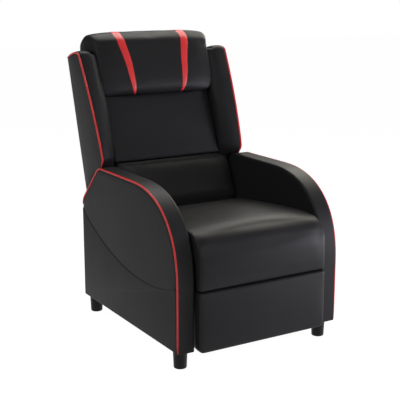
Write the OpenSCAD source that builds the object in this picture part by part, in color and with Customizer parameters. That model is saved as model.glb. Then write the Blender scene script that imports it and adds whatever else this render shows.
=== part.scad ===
// TV recliner chair: two panel arms on round feet, a seat that slides forward on
// slotted plates, a winged back that reclines and a footrest on parallel links.
// Lengths are millimetres. The chair faces -Y and stands on z = 0.
// A distance called "..._d" is measured back from the front edge of the seat.

/* [Overall] */
// Width over the two arms
chair_w = 660; // [640:1:690]
// Distance from the front edge of the seat back to the origin
origin_d = 443.5; // [430:0.5:460]

/* [Arms] */
// Thickness of an arm
arm_t = 68; // [64:1:72]
// Height of the arm's flat top
arm_top_z = 600; // [590:1:606]
// Front face of the arm
arm_front_d = 28; // [24:1:34]
// How far the arm reaches behind the seat cushion
arm_past_seat = 209; // [205:1:215]
// How far the rounded front reaches back along the top
arm_nose_l = 323; // [300:1:345]
// How far the rounded front reaches down from the top
arm_nose_h = 316; // [290:1:330]
// Length of the slanted rear corner, measured along the ground
arm_slant_l = 146.5; // [140:0.5:152]
// Radius of the two corners of the slant
arm_corner_r = 54; // [40:1:65]
// Thickness of the band that runs round the arm's edge
band_t = 7; // [5:0.5:7]
// Thickness of the inner and outer side panels
side_panel_t = 8; // [6:0.5:10]
// Thickness of the pocket sewn on the outer side
pocket_t = 3; // [2:0.5:4]
// Lowest point of the pocket's curved edge
pocket_low_z = 260; // [240:1:280]
// Where that lowest point lies along the arm
pocket_low_d = 253; // [230:1:280]
// Rise of the pocket's edge to the front
pocket_front_rise = 35; // [25:1:45]
// Rise of the pocket's edge to the rear
pocket_rear_rise = 158; // [140:1:170]
// Diameter of the red piping
piping_d = 7; // [6:0.5:7]

/* [Feet] */
// Height of a foot
foot_h = 66; // [60:1:72]
// Diameter of a foot at its top
foot_top_dia = 50; // [46:1:52]
// Diameter of a foot at the floor
foot_low_dia = 45; // [42:1:46]
// Distance from the arm's front to the front foot's centre
foot_front_in = 48; // [42:1:56]
// Distance from the arm's rear to the rear foot's centre
foot_rear_in = 26; // [26:1:34]
// Diameter of the stud that holds a foot
stud_dia = 8; // [6:1:10]

/* [Seat] */
// Gap between the seat and each arm
seat_side_gap = 7.5; // [7.5:0.5:9]
// Depth of the seat cushion
seat_l = 556; // [550:1:557]
// Height of the seat rails' underside
rail_z = 320; // [320:1:324]
// Height of a seat rail
rail_h = 45; // [42:1:48]
// Thickness of the wooden rails
rail_t = 25; // [22:1:26]
// Thickness of the cushion at its rear edge
seat_t = 62; // [58:1:66]
// How much higher the front of the seat stands
seat_rise = 36; // [28:1:40]
// Crown of the seat cushion
seat_crown = 20; // [12:1:26]
// Underside of the upholstered seat front
seat_front_z = 278; // [278:0.5:284]

/* [Back] */
// Lean of the back cushion from upright
back_lean = 21.4; // [20:0.2:22]
// Height of the seam between the upper and the lumbar cushion
back_seam_z = 600; // [596:1:604]
// How far that seam lies behind the rear of the seat cushion
back_seam_setback = 105; // [103:1:108]
// Length of the upper back cushion
upper_back_l = 272; // [262:1:274]
// Thickness of the upper back cushion with its crown
upper_back_t = 47; // [42:1:48]
// Height of the recline pivot
recline_z = 340; // [338:1:342]
// How far the recline pivot lies behind the rear of the seat cushion
recline_setback = 75; // [73:1:77]
// Thickness of the back's wooden sides
back_side_t = 25; // [18:1:28]
// Lean of the rear cover from upright, as a run for one of rise
rear_run_share = 0.184; // [0.18:0.002:0.188]
// Thickness of the rear cover
cover_t = 6; // [4:0.5:8]

/* [Headrest] */
// Height of the pillow's underside above the back's seam
headrest_lift = 243; // [242:1:252]
// Height of the headrest pillow
headrest_h = 235; // [227:1:237]
// Depth of the headrest pillow from front to rear
headrest_l = 149; // [144:1:150]
// How far the front of the pillow lies behind the back's seam
headrest_setback = 77; // [76:1:82]

/* [Footrest] */
// Underside of the footrest pad
footrest_z = 65; // [62:1:70]
// Height of the footrest pad
footrest_h = 207; // [200:1:208]
// Thickness of the footrest pad with its crown
footrest_t = 50.7; // [46:0.1:51]
// Thickness of the footrest board
footrest_board_t = 18; // [15:1:19]

/* [Linkage] */
// Length of the crank between its two pivots
crank_l = 200; // [196:1:202]
// Distance between the paired pivots of crank and idler
pair_gap = 40; // [38:1:42]
// Distance between the paired pivots of the upper and lower links
bracket_gap = 45; // [43:1:46]
// Reach of the lower link, forward
lower_link_run = 164.5; // [160:0.5:166]
// Reach of the lower link, upward
lower_link_lift = 86.3; // [84:0.1:88]
// Thickness of the steel links and plates
link_t = 4; // [3:0.5:4]
// Width of a steel link
link_w = 20; // [18:1:22]
// Radius of a link's round ends
boss_r = 12; // [11:0.5:13]
// Diameter of the linkage pins
pin_dia = 10; // [8:1:11]
// Diameter of the tube that joins the two cranks
cross_tube_dia = 19; // [16:1:20]
// Forward travel of the seat
slide_l = 38; // [34:1:40]

/* [Hidden] */

$fn = 48;

// Clearances shared by all parts
run_gap = 0.05;
open_gap = 0.2;
soft_gap = 0.3;
fit_gap = 0.1;
over = 1;

// Setbacks of the back's pieces from its seam, and of the base's from the arms' rear
cover_setback = 132;
wing_corner_setback = 109;
wing_toe_lead = 45;
wing_tuck_lead = 24;
back_heel_setback = 75;
lumbar_lead = 99;
base_rear_in = 65;
skirt_in = 8;
flap_lead = 47;
guide_behind_idler = 99;
guide_ahead_of_end = 60;
rail_past_seat = 44;

// Distances that follow the depth of the seat
arm_rear_d = seat_l + arm_past_seat;
back_seam_d = seat_l + back_seam_setback;
recline_d = seat_l + recline_setback;
headrest_d = back_seam_d + headrest_setback;

// Where the arms and the seat meet
half_w = chair_w / 2;
inner_x = half_w - arm_t;
seat_half_w = inner_x - seat_side_gap;
slant_angle = 45;

// Layers of steel beside the seat, from the arm inward
layer_gap = 1;
guide_x = inner_x - link_t;
seat_plate_x = seat_half_w - 3.5 * layer_gap - link_t;
crank_x = seat_plate_x - layer_gap - link_t;
lower_x = crank_x - layer_gap - link_t;
head_t = 3;
idler_x = lower_x - head_t - layer_gap - link_t;
head_r = 8;
pin_r = pin_dia / 2;

// Rails and boards of the seat
rail_top_z = rail_z + rail_h;
rail_x = seat_plate_x - rail_t;
seat_board_t = 24;
seat_board_d = 36;
rail_d = seat_board_d + seat_board_t;
rail_end_d = seat_l + rail_past_seat;
spring_t = 3.5;
clip_t = 2;
seat_low_z = rail_top_z + spring_t + clip_t + soft_gap;

// Pivots of the linkage at rest
crank_d = 191;
crank_lean = 65;
pivot_drop = 20;
pivot_z = rail_z - pivot_drop;
crank_pivot = [crank_d, pivot_z];
idler_pivot = [crank_d + pair_gap, pivot_z];
crank_end = crank_pivot + crank_l * [cos(crank_lean), -sin(crank_lean)];
idler_end = crank_end + [pair_gap, 0];
upper_end = crank_end + [0, bracket_gap];
lower_toe = crank_end + [-lower_link_run, lower_link_lift];
upper_toe = lower_toe + [0, bracket_gap];

// Footrest, folded down under the seat front
footrest_board_d = 58;
footrest_back_d = footrest_board_d + footrest_board_t;
footrest_margin = 10;

// Recline pivot and the planes of the back
recline_pivot = [recline_d, recline_z];
wing_gap = soft_gap;
wing_overlap = 27;
wing_x = inner_x - wing_overlap;
back_half_w = wing_x - wing_gap;
back_side_x = wing_x - back_side_t;
web_t = 2.5;
back_stack_t = upper_back_t + web_t + 2 * soft_gap;
cover_drop = 126;
cover_low_z = back_seam_z - cover_drop;
cover_low_d = back_seam_d + cover_setback;
wing_rise = 404;
wing_top_z = back_seam_z + wing_rise;
wing_shoulder_drop = 19;
wing_corner_drop = 8;
wing_toe_lift = 24;
wing_tuck_drop = 10;
wing_taper_lift = 200;
wing_shoulder_z = wing_top_z - wing_shoulder_drop;
wing_corner_d = back_seam_d + wing_corner_setback;
wing_corner_z = wing_top_z - wing_corner_drop;
wing_toe_d = back_seam_d - wing_toe_lead;
wing_toe_z = back_seam_z + wing_toe_lift;
wing_tuck_d = back_seam_d - wing_tuck_lead;
wing_tuck_z = back_seam_z - wing_tuck_drop;
wing_bow = 10;
wing_out_in = 14;
wing_out_x = half_w - wing_out_in;
wing_taper_share = 0.044;
wing_taper_z = back_seam_z + wing_taper_lift;
chamfer = 8;

// y of a point that lies d behind the front edge of the seat
function y_at(d) = d - origin_d;
function place(p) = [y_at(p[0]), p[1]];
function place_all(points) = [for (p = points) place(p)];

// Outline points at shares of a box that starts at [d, z]
function in_box(shares, d, z, l, h) = [for (s = shares) [d + s[0] * l, z + s[1] * h]];

// The same outline drawn a distance t further in
function outward(p, q) = let (e = q - p) [e[1], -e[0]] / norm(e);
function inset(points, t) = let (n = len(points)) [for (i = [0 : n - 1])
  let (a = outward(points[(i + n - 1) % n], points[i]),
       b = outward(points[i], points[(i + 1) % n]),
       m = a + b)
  points[i] - m * (2 * t / (m * m))];

// An outline of the side view, extruded across from x to x + t
module side_plate(x, t) {
  translate([x, 0, 0]) rotate([90, 0, 90]) linear_extrude(t) children();
}

// A round pin or hole along x, at a point of the side view
module across(p, x, t, r) {
  translate([x, y_at(p[0]), p[1]]) rotate([0, 90, 0]) cylinder(h = t, r = r);
}

module on_right() {
  mirror([1, 0, 0]) children();
}

module on_both() {
  children();
  mirror([1, 0, 0]) children();
}

// A closed skin over rings of equally many points
module loft(rings) {
  n = len(rings[0]);
  last = len(rings) - 1;
  function middle(ring) = [for (k = [0 : 2]) [for (p = ring) p[k]] * [for (p = ring) 1] / n];
  low = (last + 1) * n;
  points = concat([for (ring = rings) each ring], [middle(rings[0]), middle(rings[last])]);
  walls = [for (k = [0 : last - 1]) for (i = [0 : n - 1])
    let (a = k * n + i, b = k * n + (i + 1) % n)
    each [[a, a + n, b + n], [a, b + n, b]]];
  floor_fan = [for (i = [0 : n - 1]) [low, i, (i + 1) % n]];
  roof_fan = [for (i = [0 : n - 1]) [low + 1, last * n + (i + 1) % n, last * n + i]];
  polyhedron(points, concat(walls, floor_fan, roof_fan), convexity = 4);
}

// One level of a cushion: a rounded rectangle whose sides pull in
corner_share = 0.2;
function signed_power(v, e) = sign(v) * pow(abs(v), e);
function pad_ring(w, l, pull, n) = [for (i = [0 : n - 1])
  let (a = 360 * (i + 0.5) / n,
       x = signed_power(cos(a), corner_share),
       y = signed_power(sin(a), corner_share))
  [x * (w / 2 - pull * (1 - y * y)), y * (l / 2 - pull * (1 - x * x))]];

// A cushion on its flat base, crowned towards +z and raised by rise at its -y end
pad_n = 40;
side_steps = 4;
crown_steps = 4;
module pad(w, l, t, low_r, top_r, crown, pull, rise) {
  function height(y, z) = z + rise * (0.5 - y / l) * z / t;
  function level(in, z) = [for (p = pad_ring(w - 2 * in, l - 2 * in, pull, pad_n))
    [p[0], p[1], height(p[1], z)]];
  function crowned(s) = [for (p = pad_ring(w - 2 * top_r, l - 2 * top_r, pull, pad_n))
    [s * p[0], s * p[1], height(s * p[1], t + crown * (1 - s * s))]];
  loft(concat(
    [for (k = [0 : side_steps]) let (a = 90 * k / side_steps)
      level(low_r * (1 - sin(a)), low_r * (1 - cos(a)))],
    [for (k = [0 : side_steps]) let (a = 90 * k / side_steps)
      level(top_r * (1 - cos(a)), t - top_r * (1 - sin(a)))],
    [for (k = [1 : crown_steps]) crowned(1 - k / (crown_steps + 1))]));
}

// A tube swept along points of the side view, at x for each point
tube_n = 8;
module tube(path, xs, r) {
  last = len(path) - 1;
  function along(i) = let (e = path[min(i + 1, last)] - path[max(i - 1, 0)]) e / norm(e);
  loft([for (i = [0 : last]) let (t = along(i)) [for (k = [0 : tube_n - 1])
    let (a = 360 * k / tube_n)
    [xs[i] + r * sin(a), path[i][0] - r * cos(a) * t[1], path[i][1] + r * cos(a) * t[0]]]]);
}

// Arms

nose_power_share = 0.8333;
nose_steps = 12;
corner_steps = 4;
slant_tan = tan(slant_angle / 2);
nose_centre = [arm_front_d + arm_nose_l, arm_top_z - arm_nose_h];
slant_top = [arm_rear_d - arm_slant_l, arm_top_z];
slant_low = [arm_rear_d, arm_top_z - arm_slant_l];

arm_nose = [for (k = [0 : nose_steps]) let (a = 90 * k / nose_steps)
  nose_centre + [-arm_nose_l * pow(sin(a), nose_power_share),
                 arm_nose_h * pow(cos(a), nose_power_share)]];
arm_low_corner = [for (k = [0 : corner_steps]) let (a = slant_angle * k / corner_steps)
  slant_low + arm_corner_r * [cos(a) - 1, sin(a) - slant_tan]];
arm_top_corner = [for (k = [0 : corner_steps])
  let (a = slant_angle + slant_angle * k / corner_steps)
  slant_top + arm_corner_r * [cos(a) - slant_tan, sin(a) - 1]];
arm_outline = place_all(concat([[arm_front_d, foot_h], [arm_rear_d, foot_h]],
  arm_low_corner, arm_top_corner, arm_nose));

band_x = inner_x + side_panel_t;
band_end_x = half_w - piping_d;
outer_panel_x = half_w - pocket_t - side_panel_t;
outer_inset = piping_d + soft_gap;

module foot_places() {
  for (d = [arm_front_d + foot_front_in, arm_rear_d - foot_rear_in])
    translate([half_w - arm_t / 2 - side_panel_t / 2, y_at(d), 0]) children();
}

stud_l = 40;
module stud_holes() {
  foot_places() translate([0, 0, foot_h - over])
    cylinder(h = stud_l + over + fit_gap, d = stud_dia + 2 * fit_gap);
}

bolt_dia = 8;
bolt_l = 70;
bolt_in = 34;
bolt_z_shares = [0.25, 0.75];
base_rail_z = 80;
base_rail_h = 110;
base_front_d = 350;
base_rear_d = arm_rear_d - base_rear_in;
module bolt_places() {
  for (d = [base_front_d, base_rear_d], s = bolt_z_shares)
    translate([inner_x - bolt_in, y_at(d + rail_t / 2), base_rail_z + s * base_rail_h])
      rotate([0, 90, 0]) children();
}
module bolt_holes() {
  bolt_places() cylinder(h = bolt_l + fit_gap, d = bolt_dia + 2 * fit_gap);
}

module arm_core() {
  color("burlywood") difference() {
    side_plate(band_x, outer_panel_x - band_x) polygon(inset(arm_outline, band_t));
    stud_holes();
    bolt_holes();
  }
}
module arm_outer_panel() {
  color([0.16, 0.16, 0.17]) side_plate(outer_panel_x, side_panel_t)
    polygon(inset(arm_outline, outer_inset));
}
module arm_inner_panel() {
  color([0.18, 0.18, 0.19]) difference() {
    side_plate(inner_x, side_panel_t) polygon(arm_outline);
    bolt_holes();
  }
}
module arm_band() {
  color([0.22, 0.22, 0.24]) difference() {
    side_plate(band_x, band_end_x - band_x) polygon(arm_outline);
    side_plate(band_x - over, band_end_x - band_x + 2 * over)
      polygon(inset(arm_outline, band_t));
    stud_holes();
  }
}
module arm_piping() {
  path = inset(arm_outline, piping_d / 2);
  run = concat([for (i = [2 : len(path) - 1]) path[i]], [path[0]]);
  color([0.78, 0.16, 0.18])
    tube(run, [for (p = run) half_w - piping_d / 2], piping_d / 2);
}

pocket_steps = 16;
function pocket_edge(d) = pocket_low_z + (d > pocket_low_d
  ? pocket_rear_rise * pow((d - pocket_low_d) / (arm_rear_d - pocket_low_d), 2)
  : pocket_front_rise * pow((pocket_low_d - d) / (pocket_low_d - arm_front_d), 2));
module side_pocket() {
  first = arm_front_d + outer_inset;
  last = arm_rear_d - outer_inset;
  low = foot_h + outer_inset;
  edge = [for (k = [0 : pocket_steps]) let (d = last + (first - last) * k / pocket_steps)
    [d, pocket_edge(d)]];
  color([0.14, 0.14, 0.15]) side_plate(half_w - pocket_t, pocket_t)
    polygon(place_all(concat([[first, low], [last, low]], edge)));
}

// Feet and the fixed base

module feet() {
  color([0.05, 0.05, 0.05]) on_both() foot_places() difference() {
    cylinder(h = foot_h, d1 = foot_low_dia, d2 = foot_top_dia);
    translate([0, 0, foot_h - stud_l / 2])
      cylinder(h = stud_l, d = stud_dia + 2 * fit_gap);
  }
}
module foot_studs() {
  color("silver") on_both() foot_places() translate([0, 0, foot_h - stud_l / 2 + fit_gap])
    cylinder(h = stud_l * 1.5 - fit_gap, d = stud_dia);
}

module base_rail(d) {
  color("burlywood") difference() {
    translate([-inner_x, y_at(d), base_rail_z]) cube([2 * inner_x, rail_t, base_rail_h]);
    on_both() bolt_holes();
  }
}
module base_front_rail() {
  base_rail(base_front_d);
}
module base_rear_rail() {
  base_rail(base_rear_d);
}
module rail_bolts() {
  color("silver") on_both() bolt_places() cylinder(h = bolt_l, d = bolt_dia);
}

skirt_d = arm_rear_d - skirt_in;
skirt_t = 4;
skirt_top_z = 296;
module rear_skirt() {
  color([0.1, 0.1, 0.1]) translate([-inner_x, y_at(skirt_d), foot_h])
    cube([2 * inner_x, skirt_t, skirt_top_z - foot_h]);
}

// Slotted plates on the arms, which the seat's rollers run in

guide_ds = [idler_pivot[0] + guide_behind_idler, rail_end_d - guide_ahead_of_end];
guide_z = rail_z + 20;
roller_r = 8;
guide_h = 60;
guide_end = 28;
module guide_plates() {
  color("dimgray") on_both() difference() {
    translate([guide_x, y_at(guide_ds[0] - slide_l - guide_end), guide_z - guide_h / 2])
      cube([link_t, guide_ds[1] - guide_ds[0] + slide_l + 2 * guide_end, guide_h]);
    for (d = guide_ds) {
      for (end_d = [d, d - slide_l - fit_gap])
        across([end_d, guide_z], guide_x - over, link_t + 2 * over, roller_r + fit_gap);
      translate([guide_x - over, y_at(d - slide_l - fit_gap), guide_z - roller_r - fit_gap])
        cube([link_t + 2 * over, slide_l + fit_gap, 2 * (roller_r + fit_gap)]);
    }
  }
}
roller_t = 3.4;
guide_pin_r = 4;
module guide_rollers() {
  color("white") on_both() for (d = guide_ds) difference() {
    across([d, guide_z], guide_x + soft_gap, roller_t, roller_r);
    across([d, guide_z], guide_x, link_t, guide_pin_r + run_gap);
  }
}
module guide_pins() {
  color("silver") on_both() for (d = guide_ds)
    across([d, guide_z], seat_plate_x, inner_x - soft_gap - seat_plate_x, guide_pin_r);
}

// Seat frame

module seat_rail() {
  color("burlywood") translate([rail_x, y_at(rail_d), rail_z])
    cube([rail_t, rail_end_d - rail_d, rail_h]);
}
module seat_cross_rail(d) {
  color("burlywood") translate([-rail_x, y_at(d), rail_z]) cube([2 * rail_x, rail_t, rail_h]);
}
module seat_front_rail() {
  seat_cross_rail(rail_d);
}
module seat_rear_rail() {
  seat_cross_rail(rail_end_d - rail_t - over);
}
module seat_front_board() {
  color("burlywood") translate([-rail_x - rail_t, y_at(seat_board_d), seat_front_z])
    cube([2 * (rail_x + rail_t), seat_board_t, seat_low_z - soft_gap - seat_front_z]);
}

// Flat sinuous springs from the front rail to the rear rail
spring_count = 5;
spring_wave = 22;
spring_pitch = 45;
spring_steps = 60;
spring_first_d = rail_d + rail_t / 2;
spring_last_d = rail_end_d - rail_t / 2 - over;
spring_l = spring_last_d - spring_first_d;
function spring_x(i) = (i - (spring_count - 1) / 2) * 2 * rail_x / (spring_count + 0.5);
function spring_point(k) = let (s = k / spring_steps, a = 360 * spring_l * s / spring_pitch)
  [spring_wave * sin(a) * sin(180 * s), s * spring_l];
function spring_side(k, out) = let (e = spring_point(k + 0.5) - spring_point(k - 0.5))
  spring_point(k) + out * [e[1], -e[0]] / norm(e);
module seat_springs() {
  right_edge = [for (k = [0 : spring_steps]) spring_side(k, spring_t / 2)];
  left_edge = [for (k = [spring_steps : -1 : 0]) spring_side(k, -spring_t / 2)];
  color("gray") for (i = [0 : spring_count - 1])
    translate([spring_x(i), y_at(spring_first_d), rail_top_z])
      linear_extrude(spring_t) polygon(concat(right_edge, left_edge));
}
clip_w = 24;
clip_l = 10;
module seat_spring_clips() {
  color("silver") for (i = [0 : spring_count - 1], d = [spring_first_d, spring_last_d - clip_l])
    translate([spring_x(i) - clip_w / 2, y_at(d), rail_top_z + spring_t])
      cube([clip_w, clip_l, clip_t]);
}

seat_low_r = 8;
seat_top_r = 34;
seat_pull = 3;
module seat_cushion() {
  color([0.25, 0.25, 0.26]) translate([0, y_at(seat_l / 2), seat_low_z])
    pad(2 * seat_half_w, seat_l, seat_t, seat_low_r, seat_top_r, seat_crown, seat_pull,
        seat_rise);
}
front_pad_top_z = seat_low_z - soft_gap;
front_pad_h = front_pad_top_z - seat_front_z;
front_pad_crown = 6;
front_pad_r = 10;
module seat_front_pad() {
  color([0.25, 0.25, 0.27])
    translate([0, y_at(seat_board_d), seat_front_z + front_pad_h / 2]) rotate([90, 0, 0])
      pad(2 * seat_half_w, front_pad_h, seat_board_d - front_pad_crown, soft_gap,
          front_pad_r, front_pad_crown, 0, 0);
}

// Steel plates on the seat rails, with every pivot that the seat carries

module bar(p, q) {
  hull_l = norm(q - p);
  turn = atan2(q[1] - p[1], q[0] - p[0]);
  translate([y_at(p[0]), p[1]]) rotate([0, 0, turn]) translate([0, -link_w / 2])
    square([hull_l, link_w]);
}
module boss(p, r) {
  translate([y_at(p[0]), p[1]]) circle(r = r);
}
module link(points, x) {
  color("dimgray") difference() {
    side_plate(x, link_t) {
      for (i = [0 : len(points) - 2]) bar(points[i], points[i + 1]);
      for (p = points) boss(p, boss_r);
    }
    children();
  }
}
plate_low_z = pivot_z + 10;
plate_top_z = rail_top_z - 5;
recline_boss_r = 18;
module seat_plates() {
  color("dimgray") on_both() difference() {
    side_plate(seat_plate_x, link_t) {
      polygon(place_all([[crank_d - boss_r, plate_low_z], [recline_d, plate_low_z],
        [recline_d, plate_top_z], [crank_d - boss_r, plate_top_z]]));
      polygon(place_all([[crank_d - boss_r, pivot_z], [idler_pivot[0] + boss_r, pivot_z],
        [idler_pivot[0] + boss_r, plate_low_z + over], [crank_d - boss_r, plate_low_z + over]]));
      boss(crank_pivot, boss_r);
      boss(idler_pivot, boss_r);
      boss(recline_pivot, recline_z - plate_low_z);
    }
    for (p = [crank_pivot, idler_pivot, recline_pivot])
      across(p, seat_plate_x - over, link_t + 2 * over, pin_r + run_gap);
    for (d = guide_ds)
      across([d, guide_z], seat_plate_x - over, link_t + 2 * over, guide_pin_r + run_gap);
  }
}
module linkage_pivot_pins() {
  color("silver") on_both() {
    across(crank_pivot, crank_x, seat_plate_x + link_t - crank_x, pin_r);
    across(crank_pivot, seat_plate_x + link_t, head_t, head_r);
    across(idler_pivot, idler_x, seat_plate_x + link_t - idler_x, pin_r);
    across(idler_pivot, seat_plate_x + link_t, head_t, head_r);
    across(idler_pivot, idler_x - head_t, head_t, head_r);
    across(idler_pivot, idler_x + link_t + soft_gap,
      seat_plate_x - idler_x - link_t - 2 * soft_gap, head_r);
  }
}
back_bracket_x = wing_x;
module recline_pivot_bolts() {
  color("silver") on_both() {
    across(recline_pivot, back_bracket_x, seat_plate_x + link_t - back_bracket_x, pin_r);
    across(recline_pivot, seat_plate_x + link_t, head_t, head_r);
    across(recline_pivot, back_bracket_x - head_t - soft_gap, head_t + soft_gap, pin_r);
    across(recline_pivot, back_bracket_x - head_t - soft_gap, head_t, head_r);
    across(recline_pivot, back_bracket_x + link_t + soft_gap,
      seat_plate_x - back_bracket_x - link_t - 2 * soft_gap, head_r);
  }
}

// Back frame

// Depth of the back's face, of the frame's front and of its rear, at a height z
function face_d(z) = back_seam_d + (z - back_seam_z) * tan(back_lean);
function frame_d(z) = face_d(z) + back_stack_t / cos(back_lean);
function rear_d(z) = cover_low_d + (z - cover_low_z) * rear_run_share;
function frame_rear_d(z) = rear_d(z) - cover_t - soft_gap;

back_low_lift = 15;
back_heel_lift = 22;
back_top_drop = 64;
back_low_z = rail_top_z + back_low_lift;
back_heel_d = back_seam_d + back_heel_setback;
back_heel_z = back_low_z + back_heel_lift;
back_top_z = wing_top_z - back_top_drop;
module back_side() {
  color("burlywood") side_plate(back_side_x, back_side_t) polygon(place_all([
    [frame_d(back_low_z), back_low_z],
    [back_heel_d, back_heel_z],
    [frame_rear_d(cover_low_z), cover_low_z],
    [frame_rear_d(back_top_z), back_top_z],
    [frame_d(back_top_z), back_top_z]]));
}
back_rail_h = 40;
back_rail_margin = 5;
back_rail_zs = [back_low_z + back_rail_h / 2, back_seam_z - back_rail_margin - back_rail_h / 2,
  back_top_z - back_rail_margin - back_rail_h];
module back_rails() {
  color("burlywood") for (z = back_rail_zs) {
    depth = min(rail_t, frame_rear_d(z) - frame_d(z + back_rail_h) - over);
    side_plate(-back_side_x, 2 * back_side_x) polygon(place_all([
      [frame_d(z), z], [frame_d(z) + depth, z],
      [frame_d(z + back_rail_h) + depth, z + back_rail_h],
      [frame_d(z + back_rail_h), z + back_rail_h]]));
  }
}
web_h = 46;
web_pitch = 70;
web_steps = [-2.15, -1.15, 0.7, 1.7, 2.7];
web_zs = [for (k = web_steps) back_seam_z + k * web_pitch];
module back_webbing() {
  web_depth = web_t / cos(back_lean);
  color([0.75, 0.72, 0.65]) for (z = web_zs)
    side_plate(-wing_x + wing_gap, 2 * (wing_x - wing_gap)) polygon(place_all([
      [frame_d(z) - fit_gap - web_depth, z], [frame_d(z) - fit_gap, z],
      [frame_d(z + web_h) - fit_gap, z + web_h],
      [frame_d(z + web_h) - fit_gap - web_depth, z + web_h]]));
}
bracket_rise = 120;
bracket_top_z = back_low_z + bracket_rise;
bracket_w = 34;
bracket_inset = 3;
module back_brackets() {
  color("dimgray") on_both() difference() {
    side_plate(back_bracket_x, link_t) {
      boss(recline_pivot, recline_boss_r);
      polygon(place_all([
        [recline_d - recline_boss_r / 2, recline_z],
        [recline_d + recline_boss_r, recline_z],
        [frame_d(bracket_top_z) + bracket_w, bracket_top_z],
        [frame_d(bracket_top_z) + bracket_inset, bracket_top_z],
        [frame_d(back_low_z) + bracket_inset, back_low_z]]));
    }
    across(recline_pivot, back_bracket_x - over, link_t + 2 * over, pin_r + run_gap);
  }
}
cover_top_z = wing_shoulder_z;
cover_inset = 4;
flap_lift = 16;
flap_low_z = back_low_z + flap_lift;
flap_low_d = cover_low_d - flap_lead;
function wing_face_x(z) = wing_out_x + (z - wing_taper_z) * wing_taper_share;
module rear_cover() {
  rise = cover_top_z - cover_low_z;
  lean = atan(rear_run_share);
  color([0.12, 0.12, 0.13]) {
    translate([0, y_at(cover_low_d), cover_low_z]) rotate([90 - lean, 0, 0])
      linear_extrude(cover_t * cos(lean)) polygon([
        [-wing_face_x(cover_low_z) + cover_inset, 0],
        [wing_face_x(cover_low_z) - cover_inset, 0],
        [wing_face_x(cover_top_z) - cover_inset, rise / cos(lean)],
        [-wing_face_x(cover_top_z) + cover_inset, rise / cos(lean)]]);
    side_plate(-seat_half_w + cover_inset, 2 * (seat_half_w - cover_inset))
      polygon(place_all([[flap_low_d, flap_low_z], [flap_low_d + cover_t, flap_low_z],
        [cover_low_d, cover_low_z], [cover_low_d - cover_t, cover_low_z]]));
  }
}

// Back cushions

upper_crown = 6;
upper_r = 12;
upper_pull = 3;
module upper_back_cushion() {
  color([0.2, 0.2, 0.21]) translate([0, y_at(back_seam_d), back_seam_z])
    rotate([90 - back_lean, 0, 0]) translate([0, upper_back_l / 2 + soft_gap, -upper_back_t])
      pad(2 * back_half_w, upper_back_l, upper_back_t - upper_crown, soft_gap, upper_r,
          upper_crown, upper_pull, 0);
}

// Rings of a side outline, scaled about its middle, at shares of the half width
function middle_of(points) =
  [for (k = [0 : 1]) [for (p = points) p[k]] * [for (p = points) 1] / len(points)];
function x_rings(outline, half, stations) = let (m = middle_of(outline))
  [for (s = stations) [for (p = outline) let (q = m + s[1] * (p - m))
    [s[0] * half, y_at(q[0]), q[1]]]];
end_stations_shares = [[1, 0.72], [0.985, 0.86], [0.95, 0.94], [0.88, 0.98], [0.7, 1]];
function mirrored_stations(ends) = concat([for (s = ends) [-s[0], s[1]]],
  [for (i = [len(ends) - 1 : -1 : 0]) ends[i]]);

lumbar_drop = 4;
lumbar_low_z = back_low_z - lumbar_drop;
lumbar_front_d = back_seam_d - lumbar_lead;
lumbar_rear_z = back_seam_z - (back_stack_t + 2 * soft_gap) * sin(back_lean);
lumbar_l = frame_d(lumbar_rear_z) - web_t / cos(back_lean) - soft_gap - lumbar_front_d;
lumbar_h = back_seam_z - lumbar_low_z;
lumbar_front_shares = [[0.65, 0.99], [0.5, 0.85], [0.27, 0.62], [0.07, 0.42], [0, 0.285],
  [0.02, 0.16], [0.14, 0.05]];
lumbar_heel_share = 0.32;
module lumbar_cushion() {
  heel_d = frame_d(lumbar_low_z) - web_t / cos(back_lean) - soft_gap;
  outline = concat([[lumbar_front_d + lumbar_heel_share * lumbar_l, lumbar_low_z],
    [heel_d, lumbar_low_z], [lumbar_front_d + lumbar_l, lumbar_rear_z]],
    in_box(lumbar_front_shares, lumbar_front_d, lumbar_low_z, lumbar_l, lumbar_h));
  color([0.2, 0.2, 0.21]) difference() {
    loft(x_rings(outline, seat_half_w, mirrored_stations(end_stations_shares)));
    on_both() side_plate(wing_x - wing_gap, arm_t)
      polygon(inset(wing_outline, -2 * wing_gap));
  }
}

headrest_z = back_seam_z + headrest_lift;
headrest_shares = [[0.074, 0.004], [0.161, 0.043], [0.483, 0.074], [0.687, 0.377],
  [0.864, 0.575], [0.966, 0.638], [1, 0.719], [0.993, 0.821], [0.926, 0.915],
  [0.805, 0.979], [0.671, 1], [0.523, 0.979], [0.409, 0.906], [0.322, 0.787],
  [0.208, 0.604], [0.101, 0.413], [0.027, 0.23], [0, 0.106], [0.02, 0.034]];
module headrest_pillow() {
  color([0.2, 0.2, 0.21])
    loft(x_rings(in_box(headrest_shares, headrest_d, headrest_z, headrest_l, headrest_h),
      back_half_w, mirrored_stations(end_stations_shares)));
}

// Wings beside the back, with the piping on their outer front edge

front_steps = 8;
function bowed(p, q, bow, k, n) = let (s = k / n, e = q - p)
  p + s * e + 4 * bow * s * (1 - s) * [-e[1], e[0]] / norm(e);
wing_front = [for (k = [0 : front_steps])
  bowed([wing_corner_d, wing_corner_z], [wing_toe_d, wing_toe_z], -wing_bow, k, front_steps)];
wing_crest_l = 60;
wing_crest_drop = 3;
wing_top = [[frame_rear_d(wing_shoulder_z), wing_shoulder_z],
  [wing_corner_d + wing_crest_l, wing_top_z - wing_crest_drop],
  [wing_corner_d + wing_crest_l / 2, wing_top_z],
  [wing_corner_d + wing_crest_l / 4, wing_top_z - wing_crest_drop / 2]];
wing_outline = place_all(concat([[wing_tuck_d, wing_tuck_z],
  [frame_rear_d(cover_low_z), cover_low_z]], wing_top, wing_front));
function wing_ring(x, t, tapered) = [for (p = inset(wing_outline, t))
  [x + (tapered ? (p[1] - wing_taper_z) * wing_taper_share : 0), p[0], p[1]]];
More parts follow.
